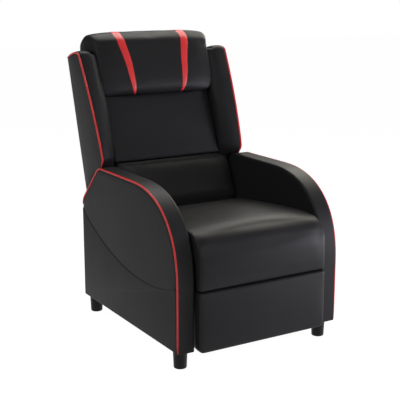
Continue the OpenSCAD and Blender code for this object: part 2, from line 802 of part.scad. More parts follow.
module wing() {
  color([0.2, 0.2, 0.21]) loft([
    wing_ring(wing_x, 1.5 * chamfer, false),
    wing_ring(wing_x + chamfer / 3, chamfer / 2, false),
    wing_ring(wing_x + 1.5 * chamfer, 0, false),
    wing_ring(wing_out_x - chamfer, 0, true),
    wing_ring(wing_out_x, chamfer, true)]);
}
piping_in = 1.4;
module wing_piping() {
  n = len(wing_outline);
  path = inset(wing_outline, piping_in);
  run = concat([for (i = [2 : n - 1]) path[i]], [path[0]]);
  color([0.78, 0.16, 0.18]) tube(run,
    [for (p = run) wing_out_x - piping_in + (p[1] - wing_taper_z) * wing_taper_share],
    piping_d / 2);
}

// Links of the footrest. The pivots at idler_end and upper_toe are open ones.

module hole(p, x, gap) {
  across(p, x - over, link_t + 2 * over, pin_r + gap);
}
module crank_arms() {
  on_both() link([crank_pivot, crank_end, upper_end, crank_pivot], crank_x) {
    hole(crank_pivot, crank_x, run_gap);
    hole(crank_end, crank_x, run_gap);
    hole(upper_end, crank_x, run_gap);
  }
}
cross_tube_off = 14;
cross_tube_share = 0.5;
cross_tube_wall = 1.5;
cross_tube_at = crank_pivot + cross_tube_share * (crank_end - crank_pivot)
  + cross_tube_off * [-sin(crank_lean), -cos(crank_lean)];
module crank_tube() {
  color("dimgray") difference() {
    across(cross_tube_at, -crank_x, 2 * crank_x, cross_tube_dia / 2);
    across(cross_tube_at, -crank_x - over, 2 * (crank_x + over),
      cross_tube_dia / 2 - cross_tube_wall);
  }
}
module crank_pins() {
  color("silver") on_both() {
    across(crank_end, lower_x, crank_x + link_t - lower_x, pin_r);
    across(crank_end, lower_x - head_t, head_t, head_r);
    across(upper_end, crank_x, seat_plate_x + link_t - crank_x, pin_r);
    across(upper_end, seat_plate_x + link_t, head_t, head_r);
  }
}
module idler_links() {
  on_both() link([idler_pivot, idler_end], idler_x) {
    hole(idler_pivot, idler_x, run_gap);
    hole(idler_end, idler_x, open_gap);
  }
}
module lower_links() {
  on_both() link([idler_end, crank_end, lower_toe], lower_x) {
    for (p = [idler_end, crank_end, lower_toe]) hole(p, lower_x, run_gap);
  }
}
module lower_link_pins() {
  color("silver") on_both() {
    across(idler_end, idler_x, lower_x + link_t - idler_x, pin_r);
    across(idler_end, idler_x - head_t, head_t, head_r);
    across(lower_toe, lower_x, crank_x + link_t - lower_x, pin_r);
    across(lower_toe, lower_x - head_t, head_t, head_r);
  }
}
module upper_links() {
  on_both() link([upper_end, upper_toe], seat_plate_x) {
    hole(upper_end, seat_plate_x, run_gap);
    hole(upper_toe, seat_plate_x, open_gap);
  }
}

// Footrest

module footrest_board() {
  color("burlywood")
    translate([-crank_x - link_t, y_at(footrest_board_d), footrest_z + footrest_margin])
      cube([2 * (crank_x + link_t), footrest_board_t, footrest_h - 2 * footrest_margin]);
}
footrest_crown = 12;
footrest_r = 26;
module footrest_pad() {
  color([0.25, 0.25, 0.27])
    translate([0, y_at(footrest_board_d - soft_gap), footrest_z + footrest_h / 2])
      rotate([90, 0, 0]) pad(2 * seat_half_w, footrest_h, footrest_t - footrest_crown,
        soft_gap, footrest_r, footrest_crown, 2, 0);
}
flange_w = 24;
flange_low_z = 105;
flange_top_z = 235;
module footrest_brackets() {
  on_both() link([lower_toe, upper_toe], crank_x) {
    hole(lower_toe, crank_x, run_gap);
    hole(upper_toe, crank_x, run_gap);
  }
  color("dimgray") on_both() difference() {
    union() {
      side_plate(crank_x, link_t) polygon(place_all([
        [footrest_back_d, flange_low_z], [lower_toe[0], lower_toe[1] - boss_r],
        [lower_toe[0], upper_toe[1]], [footrest_back_d, flange_top_z]]));
      translate([crank_x + link_t - flange_w, y_at(footrest_back_d), flange_low_z])
        cube([flange_w, link_t, flange_top_z - flange_low_z]);
    }
    hole(lower_toe, crank_x, run_gap);
    hole(upper_toe, crank_x, run_gap);
  }
}
module footrest_pins() {
  color("silver") on_both() {
    across(upper_toe, crank_x, seat_plate_x + link_t - crank_x, pin_r);
    across(upper_toe, seat_plate_x + link_t, head_t, head_r);
  }
}

arm_core();  // arm_core_left
on_right() arm_core();  // arm_core_right
arm_outer_panel();  // arm_outer_panel_left
on_right() arm_outer_panel();  // arm_outer_panel_right
arm_inner_panel();  // arm_inner_panel_left
on_right() arm_inner_panel();  // arm_inner_panel_right
arm_band();  // arm_band_left
on_right() arm_band();  // arm_band_right
arm_piping();  // arm_piping_left
on_right() arm_piping();  // arm_piping_right
side_pocket();  // side_pocket_left
on_right() side_pocket();  // side_pocket_right
feet();
foot_studs();
base_front_rail();
base_rear_rail();
guide_plates();
rail_bolts();
rear_skirt();
seat_rail();  // seat_rail_left
on_right() seat_rail();  // seat_rail_right
seat_front_rail();
seat_rear_rail();
seat_springs();
seat_spring_clips();
seat_cushion();
seat_front_board();
seat_front_pad();
seat_plates();
guide_rollers();
guide_pins();
linkage_pivot_pins();
recline_pivot_bolts();
back_side();  // back_side_left
on_right() back_side();  // back_side_right
back_rails();
back_webbing();
upper_back_cushion();
lumbar_cushion();
headrest_pillow();
wing();  // wing_left
on_right() wing();  // wing_right
wing_piping();  // wing_piping_left
on_right() wing_piping();  // wing_piping_right
rear_cover();
back_brackets();
crank_arms();
crank_tube();
crank_pins();
idler_links();
lower_links();
lower_link_pins();
upper_links();
footrest_board();
footrest_pad();
footrest_brackets();
footrest_pins();
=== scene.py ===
import math

import bmesh
import bpy
import numpy as np
from mathutils import Matrix, Vector
from mathutils.bvhtree import BVHTree


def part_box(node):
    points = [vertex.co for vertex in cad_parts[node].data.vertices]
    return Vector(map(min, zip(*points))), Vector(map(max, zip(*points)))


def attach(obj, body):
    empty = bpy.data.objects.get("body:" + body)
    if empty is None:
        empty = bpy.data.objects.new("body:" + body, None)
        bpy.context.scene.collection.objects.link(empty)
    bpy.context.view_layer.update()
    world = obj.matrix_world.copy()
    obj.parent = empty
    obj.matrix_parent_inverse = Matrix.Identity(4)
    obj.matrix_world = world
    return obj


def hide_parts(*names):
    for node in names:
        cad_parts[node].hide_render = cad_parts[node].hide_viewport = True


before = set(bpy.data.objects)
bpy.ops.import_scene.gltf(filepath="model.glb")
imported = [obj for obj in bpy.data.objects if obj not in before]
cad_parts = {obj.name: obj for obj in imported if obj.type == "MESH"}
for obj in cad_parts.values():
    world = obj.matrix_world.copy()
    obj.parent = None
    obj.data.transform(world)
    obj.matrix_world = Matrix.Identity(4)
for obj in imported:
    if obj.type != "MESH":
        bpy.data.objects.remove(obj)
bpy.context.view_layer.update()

scene = bpy.context.scene
scene.view_settings.view_transform = "Standard"

# Studio. The chair stands on a seamless white floor. A pale room lights it from all
# sides, with soft lamps low on the camera's right, above, behind, in front and high on
# its left.

MM = 0.001
FLOOR_HALF = 14
FLOOR_GREY, FLOOR_SHADOW_GREY, FLOOR_GLOW = 0.8, 0.10, 0.98
ROOM_LIGHT = 0.35
CAMERA_AT, CAMERA_AIM = (-1.78075, -2.96834, 1.28426), (0, -0.0125, 0.474)
CAMERA_LENS, CAMERA_SENSOR = 85.4, 36


def grey(value):
    """An opaque grey."""
    return (value, value, value, 1)


class Finish:
    """A socket of a material's nodes. Sums and products of it add the Math nodes."""

    def __init__(self, tree, socket=None):
        self.tree = tree
        self.socket = socket

    def add(self, kind, settings=None, values=None, out=0):
        """Adds a node: its settings first, then the values or links of its sockets."""
        node = self.tree.nodes.new("ShaderNode" + kind)
        for key, value in (settings or {}).items():
            if key == "stops":
                ramp = node.color_ramp.elements
                ramp.remove(ramp[1])
                ramp[0].position, ramp[0].color = value[0]
                for position, colour in value[1:]:
                    ramp.new(position).color = colour
            else:
                setattr(node, key, value)
        for key, value in (values or {}).items():
            if isinstance(value, Finish):
                self.tree.links.new(value.socket, node.inputs[key])
            else:
                node.inputs[key].default_value = value
        return Finish(self.tree, node.outputs[out])

    def math(self, operation, first, second):
        return self.add("Math", {"operation": operation}, {0: first, 1: second})

    def __add__(self, other):
        return self.math("ADD", self, other)

    def __mul__(self, other):
        return self.math("MULTIPLY", self, other)

    def __sub__(self, other):
        return self.math("SUBTRACT", self, other)

    def noise(self, place, scale, detail=3.0, roughness=0.5, distortion=0.0):
        values = {"Vector": place, "Scale": scale, "Detail": detail,
                  "Roughness": roughness, "Distortion": distortion}
        return self.add("TexNoise", None, values)

    def blend(self, share, first, second):
        """A mix of two colours."""
        return self.add("Mix", {"data_type": "RGBA"}, {0: share, 6: first, 7: second}, 2)

    def feed(self, node, name):
        self.tree.links.new(self.socket, node.inputs[name])

    def rays(self, *kinds):
        """1 for a ray of one of these kinds, else 0."""
        first, *others = (self.add("LightPath", None, None, f"Is {kind} Ray")
                          for kind in kinds)
        return sum(others, first)

    def dent(self, shader, strength, depth):
        """Uses the value as a fine relief, with its depth in metres."""
        self.add("Bump", None, {"Strength": strength, "Distance": depth,
                                "Height": self}).feed(shader, "Normal")


def shade_floor():
    """Matt to the light, but white to the eye and to reflections, with a faint shadow."""
    material = bpy.data.materials.new("studio_floor")
    material.use_nodes = True
    tree = material.node_tree
    tree.nodes.clear()
    start = Finish(tree)
    matt = start.add("BsdfDiffuse", None, {"Color": grey(FLOOR_GREY)})
    soft = start.add("BsdfDiffuse", None, {"Color": grey(FLOOR_SHADOW_GREY)})
    glow = start.add("Emission", None, {"Color": grey(1), "Strength": FLOOR_GLOW})
    seen = start.add("AddShader", None, {0: soft, 1: glow})
    looks = start.rays("Camera", "Glossy", "Transmission")
    start.add("MixShader", None, {0: looks, 1: matt, 2: seen}).feed(
        tree.nodes.new("ShaderNodeOutputMaterial"), "Surface")
    return material


floor_mesh = bmesh.new()
bmesh.ops.create_grid(floor_mesh, x_segments=1, y_segments=1, size=FLOOR_HALF)
floor_data = bpy.data.meshes.new("studio_floor")
floor_mesh.to_mesh(floor_data)
floor_mesh.free()
floor = bpy.data.objects.new("studio_floor", floor_data)
scene.collection.objects.link(floor)
floor.data.materials.append(shade_floor())

world = bpy.data.worlds.new("studio_room")
scene.world = world
world.use_nodes = True
world.node_tree.nodes.clear()
room = Finish(world.node_tree)
up = room.add("SeparateXYZ", None, {0: room.add("TexCoord", None, None, "Generated")}, "Z")
dome = room.add("ValToRGB", {"stops": [
    (0.0, grey(0.5)), (0.5, (0.50, 0.50, 0.51, 1)), (0.62, grey(0.30)),
    (1.0, grey(0.20))]}, {0: up * 0.5 + 0.5})
dome_light = room.add("Background", None, {"Color": dome, "Strength": ROOM_LIGHT})
white_room = room.add("Background", None, {"Color": grey(1), "Strength": 1.0})
room.add("MixShader", None, {0: room.rays("Camera", "Transmission"), 1: dome_light,
                             2: white_room}).feed(
    world.node_tree.nodes.new("ShaderNodeOutputWorld"), "Surface")


def aim(obj, place, target):
    """Puts a lamp or the camera in place, turned to its target."""
    obj.location = place
    obj.rotation_euler = (Vector(target) - Vector(place)).to_track_quat("-Z", "Y").to_euler()
    scene.collection.objects.link(obj)


def lamp(name, place, target, size, power, colour, spread=180):
    """A square soft lamp, its size in metres, its power in watts, its spread in degrees."""
    light = bpy.data.lights.new(name, "AREA")
    light.size, light.energy, light.color = size, power, colour
    light.spread = math.radians(spread)
    aim(bpy.data.objects.new(name, light), place, target)


lamp("low_key", (1.9, -1.3, 0.42), (0.1, -0.3, 0.28), 0.8, 46, (0.90, 0.90, 1.0))
lamp("warm_top", (1.6, 0.6, 1.9), (0, -0.2, 0.45), 1.2, 27, (1.0, 0.96, 0.82))
lamp("rear_top", (1.5, 1.6, 1.9), (0, -0.2, 0.45), 1.2, 9, (1.0, 0.97, 0.90))
lamp("overhead", (0.7, 1.3, 3.0), (0, -0.2, 0.45), 1.2, 38, (1.0, 0.98, 0.93))
lamp("front_fill", (0.3, -2.4, 1.7), (0, 0, 0.28), 0.9, 0.95, (0.97, 0.98, 1.0), 40)
lamp("left_high", (-2.2, -1.8, 3.0), (0, 0, 0.5), 1.6, 24, (0.99, 0.99, 1.0))
lamp("side_fill", (-2.4, -0.2, 2.2), (0, 0, 0.5), 1.6, 15, (0.99, 0.99, 1.0))

camera = bpy.data.objects.new("camera", bpy.data.cameras.new("camera"))
camera.data.lens, camera.data.sensor_width = CAMERA_LENS, CAMERA_SENSOR
aim(camera, CAMERA_AT, CAMERA_AIM)
scene.camera = camera

# Wooden frame. The arms' cores, the rails, the back's sides and the footrest's board are
# birch plywood, glued and bolted; most parts that a gap could show are stained black.

STAIN = 0.035


def new_material(name, values=None):
    """A material, its shader, a start for more nodes and the place on the piece."""
    material = bpy.data.materials.new(name)
    material.use_nodes = True
    shader = material.node_tree.nodes["Principled BSDF"]
    for key, value in (values or {}).items():
        shader.inputs[key].default_value = value
    start = Finish(material.node_tree)
    return material, shader, start, start.add("TexCoord", None, None, "Object")


def shade_plywood(name, tint=1.0):
    """Grain along the board and the faint lines of its plies; tint darkens it as a stain."""
    material, shader, start, place = new_material(name)
    along = start.add("Mapping", None, {"Vector": place, "Scale": (60, 6, 60)})
    grain = start.noise(along, 1.6, 6, 0.6, 0.7)
    plies = start.add("TexWave", {"bands_direction": "X"},
                      {"Vector": place, "Scale": 95, "Distortion": 1.2, "Detail": 2}, 1)
    stops = [(stop, tuple(tint * c for c in colour) + (1,)) for stop, colour in (
        (0.25, (0.40, 0.25, 0.12)), (0.55, (0.60, 0.42, 0.23)), (0.8, (0.70, 0.52, 0.31)))]
    start.add("ValToRGB", {"stops": stops}, {0: grain * 0.7 + plies * 0.2}).feed(
        shader, "Base Color")
    (grain * 0.2 + 0.55).feed(shader, "Roughness")
    grain.dent(shader, 0.3, 0.0004)
    return material


def dress(nodes, material):
    """Gives CAD nodes that stay in view a better material."""
    for node in nodes:
        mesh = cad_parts[node].data
        mesh.materials.clear()
        mesh.materials.append(material)


dress(["base_front_rail", "back_rails", "footrest_board"], shade_plywood("birch_plywood"))
dress(["arm_core_left", "arm_core_right", "base_rear_rail", "seat_rail_left",
       "seat_rail_right", "seat_rear_rail", "seat_front_rail", "seat_front_board",
       "back_side_left", "back_side_right"], shade_plywood("stained_plywood", STAIN))

# Springs and webbing. Four zigzag springs hang in clips between the seat's rails, and
# woven elastic straps cross the back's frame.


def shade_metal(name, colour, roughness, speck):
    material, shader, start, place = new_material(name, {"Metallic": 1.0})
    cloud = start.noise(place, 38, 4, 0.6)
    fine = start.noise(place, speck, 2, 0.5)
    dull = tuple(0.62 * c for c in colour[:3]) + (1,)
    start.blend(cloud * 0.8, colour, dull).feed(shader, "Base Color")
    (cloud * 0.22 + fine * 0.1 + roughness - 0.14).feed(shader, "Roughness")
    fine.dent(shader, 0.25, 0.0002)
    return material


def shade_webbing():
    material, shader, start, place = new_material("elastic_webbing", {"Roughness": 0.85})
    ribs = start.add("TexWave", {"bands_direction": "X"},
                     {"Vector": place, "Scale": 150, "Distortion": 0.2}, 1)
    rows = start.add("TexWave", {"bands_direction": "Z"},
                     {"Vector": place, "Scale": 110, "Distortion": 0.2}, 1)
    thread = ribs * rows
    start.blend(thread, (0.02, 0.02, 0.022, 1), (0.09, 0.09, 0.095, 1)).feed(
        shader, "Base Color")
    thread.dent(shader, 0.7, 0.0006)
    return material


dress(["seat_springs"], shade_metal("spring_wire", (0.20, 0.20, 0.22, 1), 0.4, 300))
dress(["seat_spring_clips", "foot_studs", "rail_bolts", "guide_pins", "linkage_pivot_pins",
       "recline_pivot_bolts", "crank_pins", "lower_link_pins", "footrest_pins"],
      shade_metal("zinc_plate", (0.62, 0.63, 0.65, 1), 0.36, 420))
dress(["back_webbing"], shade_webbing())

# Mechanism. Each side has pressed steel plates and links in black powder coat, turning on
# zinc-plated pins; nylon rollers run in the base's slotted guides.


def shade_powder_coat():
    material, shader, start, place = new_material("black_powder_coat")
    pebble = start.noise(place, 900, 2, 0.5)
    cloud = start.noise(place, 24, 4, 0.55)
    start.blend(cloud, (0.012, 0.012, 0.013, 1), (0.026, 0.026, 0.028, 1)).feed(
        shader, "Base Color")
    (pebble * 0.16 + 0.34).feed(shader, "Roughness")
    pebble.dent(shader, 0.4, 0.0002)
    return material


def shade_plastic(name, colour, roughness, grain, level=0.5):
    material, shader, start, place = new_material(name, {"Specular IOR Level": level})
    speck = start.noise(place, grain, 2, 0.5)
    cloud = start.noise(place, 30, 3, 0.5)
    paler = tuple(1.5 * c + 0.001 for c in colour[:3]) + (1,)
    start.blend(cloud, colour, paler).feed(shader, "Base Color")
    (speck * 0.14 + cloud * 0.08 + roughness - 0.11).feed(shader, "Roughness")
    speck.dent(shader, 0.3, 0.0002)
    return material


dress(["guide_plates", "seat_plates", "back_brackets", "crank_arms", "crank_tube",
       "idler_links", "lower_links", "upper_links", "footrest_brackets"], shade_powder_coat())
dress(["guide_rollers"], shade_plastic("nylon", (0.62, 0.61, 0.57, 1), 0.42, 500))

# Feet. Four turned feet of black moulded plastic, a little narrower at the floor, with a
# rounded lower edge; each screws onto a stud in the arm.

FOOT_X, FOOT_YS = 292, (-367.5, 295.5)
FOOT_PROFILE = [(0, 0.6), (15, 0.6), (16, 0), (19.2, 0), (21.2, 0.9), (22.3, 2.8),
                (22.6, 5.5), (23.2, 24), (24.1, 44), (24.7, 57), (25.2, 58.2),
                (25.4, 61), (25.2, 63.6), (24.8, 65.2), (23.6, 65.9), (0, 65.9)]
TINY = 1e-6  # points nearer than this, in metres, are one


def finish_piece(name, shape, material, body, nodes=(), smooth_angle=40):
    """Makes the object of a bmesh, which rides on a body and stands for CAD nodes."""
    data = bpy.data.meshes.new(name)
    bmesh.ops.recalc_face_normals(shape, faces=shape.faces)
    shape.to_mesh(data)
    shape.free()
    piece = bpy.data.objects.new(name, data)
    scene.collection.objects.link(piece)
    data.polygons.foreach_set("use_smooth", [True] * len(data.polygons))
    data.set_sharp_from_angle(angle=math.radians(smooth_angle))
    data.materials.append(material)
    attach(piece, body)
    if nodes:
        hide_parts(*nodes)
    return piece


def turned(profile, centre, steps=40):
    """A closed solid spun about an upright line, from (radius, z) points in mm."""
    shape = bmesh.new()
    points = [shape.verts.new((centre[0] * MM + r * MM, centre[1] * MM, z * MM))
              for r, z in profile]
    edges = [shape.edges.new(pair) for pair in zip(points, points[1:])]
    bmesh.ops.spin(shape, geom=points + edges, cent=(centre[0] * MM, centre[1] * MM, 0),
                   axis=(0, 0, 1), angle=math.tau, steps=steps, use_merge=True)
    bmesh.ops.remove_doubles(shape, verts=shape.verts, dist=TINY)
    return shape


def gather(whole, part):
    """Adds one bmesh to another, and frees it."""
    data = bpy.data.meshes.new("part")
    part.to_mesh(data)
    part.free()
    whole.from_mesh(data)
    bpy.data.meshes.remove(data)


feet = bmesh.new()
for side in (-1, 1):
    for foot_y in FOOT_YS:
        gather(feet, turned(FOOT_PROFILE, (side * FOOT_X, foot_y)))
finish_piece("feet_turned", feet,
             shade_plastic("black_moulding", (0.006, 0.006, 0.0065, 1), 0.46, 340, 0.16),
             "base", ["feet"])

# Arm covers. Smooth black leathercloth over thin foam, in panels: a flat inner side, a
# band over the nose and top, and an outer side that swells a little between its seams.

SEAT_FRONT_Y = -443.5

def shade_leather(name, colour, roughness, mottle=0.16, crease=0.35, level=0.11):
    """Coated leathercloth: a fine pebbled grain, faint creases and a soft sheen."""
    material, shader, start, place = new_material(name, {"Specular IOR Level": level})
    pebble = start.add("TexVoronoi", {"feature": "SMOOTH_F1"},
                       {"Vector": place, "Scale": 620, "Smoothness": 0.7}, "Distance")
    pores = start.noise(place, 1500, 2, 0.6)
    cloud = start.noise(place, 7, 5, 0.55, 0.4)
    patch = start.noise(place, 26, 3, 0.5)
    stretch = start.noise(place, 13, 2, 0.45, 0.9)
    dark = tuple((1 - mottle) * c for c in colour[:3]) + (1,)
    pale = tuple((1 + mottle) * c for c in colour[:3]) + (1,)
    start.blend(cloud * 0.7 + patch * 0.3, dark, pale).feed(shader, "Base Color")
    (cloud * 0.10 + patch * 0.06 + pebble * 0.06 + roughness - 0.1).feed(shader, "Roughness")
    grain = start.add("Bump", None, {"Strength": 0.28, "Distance": 0.00018,
                                     "Height": pebble + pores * 0.5})
    start.add("Bump", None, {"Strength": crease, "Distance": 0.0012, "Height": stretch,
                             "Normal": grain}).feed(shader, "Normal")
    return material


def yz(d, z):
    """A point of the side view, d behind the seat's front edge, in the frame's metres."""
    return (d + SEAT_FRONT_Y) * MM, z * MM


def rounded(corner, radius, steps, first, sweep):
    """An arc's points in mm about a centre, from an angle in degrees."""
    return [(corner[0] + radius * math.cos(math.radians(first + sweep * k / steps)),
             corner[1] + radius * math.sin(math.radians(first + sweep * k / steps)))
            for k in range(steps + 1)]


ARM_FRONT_D, ARM_REAR_D, ARM_TOP_Z, ARM_LOW_Z = 28, 765, 600, 66
ARM_NOSE_L, ARM_NOSE_H, NOSE_POWER, NOSE_STEPS = 323, 316, 0.8333, 28
ARM_SLANT, ARM_CORNER_R = 146.5, 54
ARM_OUT_X, PIPING_R = 330, 3.5
PANEL_IN_X, PANEL_X, INNER_X, INNER_OUT_X, BAND_X, BAND_OUT_X = (
    319, 325.5, 261.6, 270, 262.4, 325)
PANEL_INSET, INNER_INSET, BAND_SLICES, BAND_EDGE_R = 5.5, 10, 6, 7
PANEL_RINGS = [(2, 1.2), (4, 1.2), (6, 0.9), (9, 0.7)]
SIDES = ((1, "left"), (-1, "right"))


def arm_outline():
    """The arm's side view (d, z): up the rear, over the slant and the top, down the nose."""
    tangent = math.tan(math.radians(22.5))
    low = (ARM_REAR_D - ARM_CORNER_R, ARM_TOP_Z - ARM_SLANT - ARM_CORNER_R * tangent)
    top = (ARM_REAR_D - ARM_SLANT - ARM_CORNER_R * tangent, ARM_TOP_Z - ARM_CORNER_R)
    nose = []
    for k in range(NOSE_STEPS + 1):
        turn = math.pi / 2 * k / NOSE_STEPS
        nose.append((ARM_FRONT_D + ARM_NOSE_L * (1 - math.sin(turn) ** NOSE_POWER),
                     ARM_TOP_Z - ARM_NOSE_H * (1 - math.cos(turn) ** NOSE_POWER)))
    straight = [(ARM_FRONT_D, z) for z in (250, 215, 180, 140, 100)]
    rear = [(ARM_REAR_D, z) for z in (120, 190, 260, 330, 390)]
    return ([(ARM_FRONT_D, ARM_LOW_Z), (ARM_REAR_D, ARM_LOW_Z)] + rear
            + rounded(low, ARM_CORNER_R, 6, 0, 45) + rounded(top, ARM_CORNER_R, 6, 45, 45)
            + nose + straight)


def inset(points, amount):
    """The same closed outline drawn a distance further in, in mm."""
    moved = []
    count = len(points)
    for i in range(count):
        here = Vector(points[i])
        before = (here - Vector(points[i - 1])).normalized()
        after = (Vector(points[(i + 1) % count]) - here).normalized()
        mid = Vector((before.y + after.y, -before.x - after.x))
        moved.append(tuple(here - mid * (2 * amount / mid.length_squared)))
    return moved


def prism(outline, low_x, high_x, slices=1):
    """A side-view outline made a solid from low_x to high_x, cut into slices across."""
    shape = bmesh.new()
    face = shape.faces.new([shape.verts.new((low_x * MM, *yz(*p))) for p in outline])
    for _ in range(slices):
        made = bmesh.ops.extrude_face_region(shape, geom=[face])["geom"]
        bmesh.ops.translate(shape, vec=((high_x - low_x) / slices * MM, 0, 0),
                            verts=[v for v in made if isinstance(v, bmesh.types.BMVert)])
        face = [f for f in made if isinstance(f, bmesh.types.BMFace)][0]
    bmesh.ops.recalc_face_normals(shape, faces=shape.faces)
    return shape


def swell(shape, x, rings):
    """Puffs the flat face at x by rings of (inset, rise) in mm, as a padded panel."""
    face = max((f for f in shape.faces if abs(f.calc_center_median().x - x * MM) < 10 * TINY),
               key=lambda f: f.calc_area())
    for step, rise in rings:
        bmesh.ops.inset_individual(shape, faces=[face], thickness=step * MM,
                                   depth=rise * MM, use_even_offset=True)


def on_side(shape, side):
    """A copy of a left-hand piece, mirrored where side is -1."""
    other = shape.copy()
    if side < 0:
        bmesh.ops.scale(other, vec=(-1, 1, 1), verts=other.verts)
        bmesh.ops.reverse_faces(other, faces=other.faces)
    return other


def edges_at(shape, *planes):
    """The edges that lie in upright planes, each given by its x in mm."""
    return [e for e in shape.edges
            if any(all(abs(v.co.x - x * MM) < TINY for v in e.verts) for x in planes)]


def round_edges(shape, edges, radius, segments=4):
    """Bevels edges to a radius in mm."""
    bmesh.ops.bevel(shape, geom=edges, offset=radius * MM, offset_type="OFFSET",
                    segments=segments, profile=0.5, affect="EDGES", material=-1)


outline = arm_outline()
side_leather = shade_leather("side_leather", (0.0170, 0.0170, 0.0182, 1), 0.50)
black_leather = shade_leather("black_leather", (0.0160, 0.0160, 0.0172, 1), 0.46)

panel = prism(inset(outline, PANEL_INSET), PANEL_IN_X, PANEL_X)
swell(panel, PANEL_X, PANEL_RINGS)
inner = prism(inset(outline, INNER_INSET), INNER_X, INNER_OUT_X)
band = prism(outline, BAND_X, BAND_OUT_X, BAND_SLICES)
round_edges(band, edges_at(band, BAND_X), BAND_EDGE_R)
for side, word in SIDES:
    for name, shape, material, slot in (
            ("arm_outer_panel", panel, side_leather, "side_leather"),
            ("arm_inner_panel", inner, black_leather, "black_leather"),
            ("arm_band", band, black_leather, "black_leather")):
        finish_piece(f"{name}_{word}_cover", on_side(shape, side), material, "base",
                     [f"{name}_{word}"])
for shape in (panel, inner, band):
    shape.free()

# Side pockets. The lower part of each outer side is a second skin of the same leathercloth,
# sewn in at the front, rear and foot; its open top edge sags in a long curve.

POCKET_LOW_Z, POCKET_LOW_D, POCKET_FRONT_RISE, POCKET_REAR_RISE = 260, 253, 35, 158
POCKET_IN_X, POCKET_OUT_X, POCKET_STEPS, POCKET_FRONT_IN, POCKET_IN = 326, 328.4, 40, 6.5, 2.5
POCKET_RINGS = [(1.2, 1.2), (2.4, 1.0), (3.6, 0.6)]


def pocket_top(d):
    """The height of the pocket's top edge: lowest near the front, rising to both ends."""
    if d > POCKET_LOW_D:
        share = (d - POCKET_LOW_D) / (ARM_REAR_D - POCKET_LOW_D)
        return POCKET_LOW_Z + POCKET_REAR_RISE * share ** 2
    share = (POCKET_LOW_D - d) / (POCKET_LOW_D - ARM_FRONT_D)
    return POCKET_LOW_Z + POCKET_FRONT_RISE * share ** 2


def finish_pair(name, ending, shape, material, body):
    """Finishes a left-hand piece and its mirror; each stands for a node of its name."""
    for side, word in SIDES:
        finish_piece(f"{name}_{word}_{ending}", on_side(shape, side), material, body,
                     [f"{name}_{word}"])
    shape.free()


pocket_first, pocket_last = ARM_FRONT_D + POCKET_FRONT_IN, ARM_REAR_D - POCKET_IN
pocket_foot = ARM_LOW_Z + POCKET_IN
pocket_outline = [(pocket_first, pocket_foot), (pocket_last, pocket_foot)]
for k in range(POCKET_STEPS + 1):
    d = pocket_last + (pocket_first - pocket_last) * k / POCKET_STEPS
    pocket_outline.append((d, pocket_top(d)))
pocket = prism(pocket_outline, POCKET_IN_X, POCKET_OUT_X)
swell(pocket, POCKET_OUT_X, POCKET_RINGS)
finish_pair("side_pocket", "cover", pocket, side_leather, "base")

# Arm piping. A red vinyl welt, rolled over a cord and sewn into the seam between the outer
# side and the band, from the rear slant to the foot of the nose.


def shade_vinyl():
    material, shader, start, place = new_material("red_vinyl", {"Specular IOR Level": 0.4})
    pores = start.noise(place, 900, 2, 0.6)
    cloud = start.noise(place, 30, 4, 0.5)
    start.blend(cloud, (0.60, 0.022, 0.024, 1), (0.73, 0.036, 0.037, 1)).feed(
        shader, "Base Color")
    (cloud * 0.12 + pores * 0.1 + 0.32).feed(shader, "Roughness")
    pores.dent(shader, 0.35, 0.0002)
    return material


red_vinyl = shade_vinyl()


def welt(points, radius):
    """A round cord along points in metres, with rounded ends, as a bmesh."""
    curve = bpy.data.curves.new("welt", "CURVE")
    curve.dimensions = "3D"
    curve.bevel_depth = radius
    curve.bevel_resolution = 3
    curve.use_fill_caps = True
    spline = curve.splines.new("POLY")
    spline.points.add(len(points) - 1)
    for point, co in zip(spline.points, points):
        point.co = (*co, 1)
    spline.points[0].radius = spline.points[-1].radius = 0.6
    holder = bpy.data.objects.new("welt", curve)
    data = bpy.data.meshes.new_from_object(holder)
    shape = bmesh.new()
    shape.from_mesh(data)
    bmesh.ops.remove_doubles(shape, verts=shape.verts, dist=TINY)
    bpy.data.objects.remove(holder)
    bpy.data.curves.remove(curve)
    bpy.data.meshes.remove(data)
    return shape


SLANT_POINT = 7  # where the outline leaves the arm's upright rear edge
welt_line = inset(outline, PIPING_R)
arm_welt = welt([((ARM_OUT_X - PIPING_R) * MM, *yz(*p))
                 for p in welt_line[SLANT_POINT:] + welt_line[:1]], PIPING_R * MM)
finish_pair("arm_piping", "welt", arm_welt, red_vinyl, "base")

# Pocket hems. The pocket's open top edge is bound over a cord and sewn down, so that it stands
# a little off the side.
# The cord's near-black, matt colour, with its reflection nearly turned off, is painted shade:
# it draws the dark shadow line in the pocket's mouth.

HEM_X, HEM_R, HEM_LIFT, HEM_STEPS = 327.4, 2.0, 2.2, 60
# painted shade: the hem cord's colour is near-black and matt, darker than the leather, to
# stand for the shadow line along the pocket's open edge
pocket_shadow_black = new_material("pocket_shadow_black", {"Base Color": grey(0.003), "Roughness": 0.9,
                                             "Specular IOR Level": 0.03})[0]
hem = welt([(HEM_X * MM, *yz(d, pocket_top(d) + HEM_LIFT))
            for d in np.linspace(pocket_first + 1, pocket_last - 1, HEM_STEPS)], HEM_R * MM)
for side, word in SIDES:
    finish_piece(f"pocket_hem_{word}", on_side(hem, side), pocket_shadow_black, "base")
hem.free()

# Seat. One cover of the same leathercloth runs from the back over thick foam, rolls over
# the front edge and hangs down the front board; it swells between its side seams.


def smooth_line(points, steps=4):
    """A closed outline drawn through the points as one soft curve."""
    curve = []
    count = len(points)
    for i in range(count):
        a, b, c, d = (Vector(points[(i + k) % count]) for k in (-1, 0, 1, 2))
        for k in range(steps):
            t = k / steps
            curve.append(tuple(0.5 * ((2 * b) + (c - a) * t + (2 * a - 5 * b + 4 * c - d)
                                      * t * t + (3 * b - a - 3 * c + d) * t ** 3)))
    return curve


